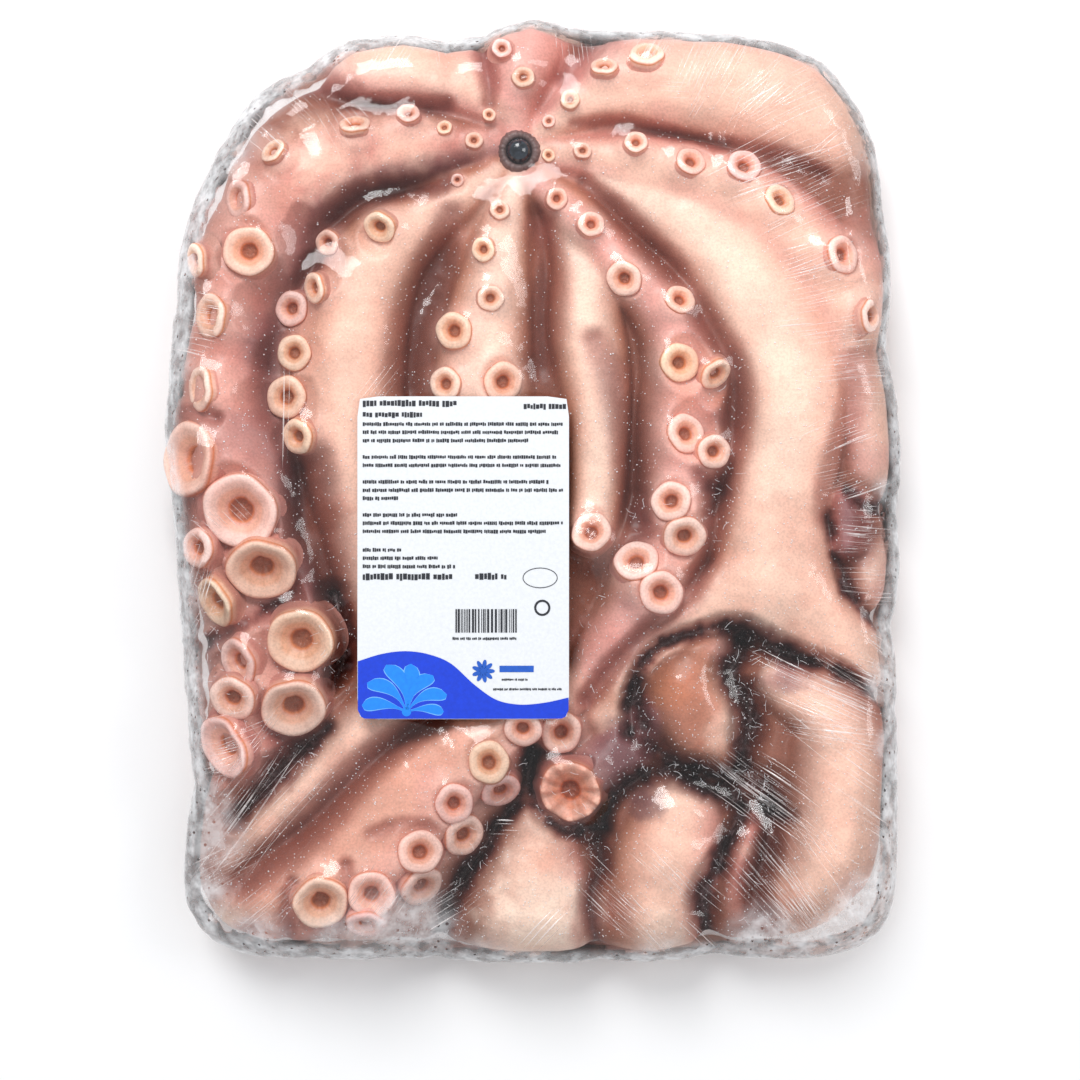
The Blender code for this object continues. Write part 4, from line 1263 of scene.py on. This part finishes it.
def paper_material():
    n = Nodes("label_paper")
    fibre = n.ramp(n.noise(700.0, 3.0), (0.3, (0.73, 0.75, 0.78)), (0.7, (0.80, 0.82, 0.85)))
    n.set(Base_Color=fibre, Roughness=0.42)
    n.set(Normal=n.add("Bump", Strength=0.12, Distance=0.0008, Height=n.noise(60.0, 2.0)))
    return n.material


def print_material(name, colour):
    n = Nodes(name)
    seen = n.ramp(n.noise(500.0, 2.0), (0.3, tuple(0.85 * value for value in colour)), (0.7, tuple(colour)))
    n.set(Base_Color=seen, Roughness=0.4)
    return n.material


def frost_material():
    n = Nodes("ice_grains")
    n.set(Base_Color=n.ramp(n.noise(300.0, 2.0), (0.3, (0.78, 0.80, 0.84)), (0.7, (0.95, 0.96, 0.98))))
    n.set(Roughness=0.3, Subsurface_Weight=0.0)
    return n.material


def beak_material():
    n = Nodes("dark_beak")
    n.set(Base_Color=n.ramp(n.noise(260.0, 3.0), (0.4, (0.006, 0.009, 0.014)), (0.7, (0.03, 0.04, 0.055))))
    n.set(Roughness=0.12, Coat_Weight=0.6, Coat_Roughness=0.05)
    n.set(Normal=n.add("Bump", Strength=0.2, Distance=0.0008, Height=n.noise(300.0, 2.0)))
    return n.material


def wear(piece, material, slot, *nodes):
    piece.data.materials.clear()
    piece.data.materials.append(material)
    if nodes:
        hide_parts(*nodes)


def set_stage():
    """A plain white floor, soft light from beyond the mouth's end and a camera straight above."""
    form = bmesh.new()
    bmesh.ops.create_grid(form, x_segments=1, y_segments=1, size=4.0)
    bmesh.ops.translate(form, verts=form.verts, vec=(0.0, 0.0, -0.0004))
    mesh = bpy.data.meshes.new("floor")
    form.to_mesh(mesh)
    form.free()
    floor = bpy.data.objects.new("floor", mesh)
    bpy.context.scene.collection.objects.link(floor)
    n = Nodes("white_floor")
    n.set(Base_Color=(0.90, 0.90, 0.90, 1.0), Roughness=0.9, Specular_IOR_Level=0.1)
    mesh.materials.append(n.material)

    world = bpy.data.worlds.new("soft_room")
    world.use_nodes = True
    world.node_tree.nodes["Background"].inputs["Color"].default_value = (0.95, 0.97, 1.0, 1.0)
    world.node_tree.nodes["Background"].inputs["Strength"].default_value = 0.74
    bpy.context.scene.world = world

    for name, place, size, watts in (
        ("key", (-0.35, 1.15, 1.35), 0.8, 21.0),
        ("side", (1.2, 0.35, 1.1), 0.5, 4.0),
    ):
        light = bpy.data.lights.new(name, "AREA")
        light.shape = "SQUARE"
        light.size = size
        light.energy = watts
        made = bpy.data.objects.new(name, light)
        made.location = place
        made.rotation_euler = (-Vector(place)).to_track_quat("-Z", "Y").to_euler()
        bpy.context.scene.collection.objects.link(made)

    camera = bpy.data.cameras.new("camera")
    camera.sensor_width = 36.0
    camera.lens = 36.0 * 1.8 / (LENGTH * 1080.0 / 932.0)
    made = bpy.data.objects.new("camera", camera)
    made.location = (0.0039, -0.0232, 1.8)
    bpy.context.scene.collection.objects.link(made)
    bpy.context.scene.camera = made
    bpy.context.scene.view_settings.view_transform = "Standard"


def main():
    maps = Maps()
    flesh = wet_flesh_material()
    film = clear_film_material()
    upper, under = model_flesh(maps)
    wear(upper, flesh, "flesh", "wrapped_octopus")
    wear(under, flesh, "flesh", "wrapped_octopus")
    wear(model_suckers(maps), flesh, "suckers", "wrapped_octopus")
    wear(model_lips(), flesh, "flesh", "wrapped_octopus")
    over, below = model_film(maps)
    wear(over, film, "film", "wrapped_octopus")
    wear(below, film, "film", "wrapped_octopus")
    wear(model_creases(over), pulled_film_material(), "film", "wrapped_octopus")
    ice = frost_material()
    wear(model_frost(upper), ice, "frost", "wrapped_octopus")
    wear(model_ice_hairs(over), ice, "frost", "wrapped_octopus")
    small, foot, pale, lines, mark = model_print()
    wear(small, print_material("dark_ink", (0.02, 0.022, 0.03)), "label_print")
    wear(foot, print_material("blue_ink", linear((8, 62, 214))), "label_print")
    wear(pale, print_material("pale_blue_ink", linear((20, 138, 250))), "label_print")
    wear(lines, print_material("light_blue_ink", linear((120, 188, 255))), "label_print")
    wear(mark, print_material("deep_blue_ink", linear((28, 92, 196))), "label_print")
    for node, material in (("label", paper_material()), ("beak", beak_material())):
        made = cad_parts[node]
        made.data.materials.clear()
        made.data.materials.append(material)
    set_stage()


main()
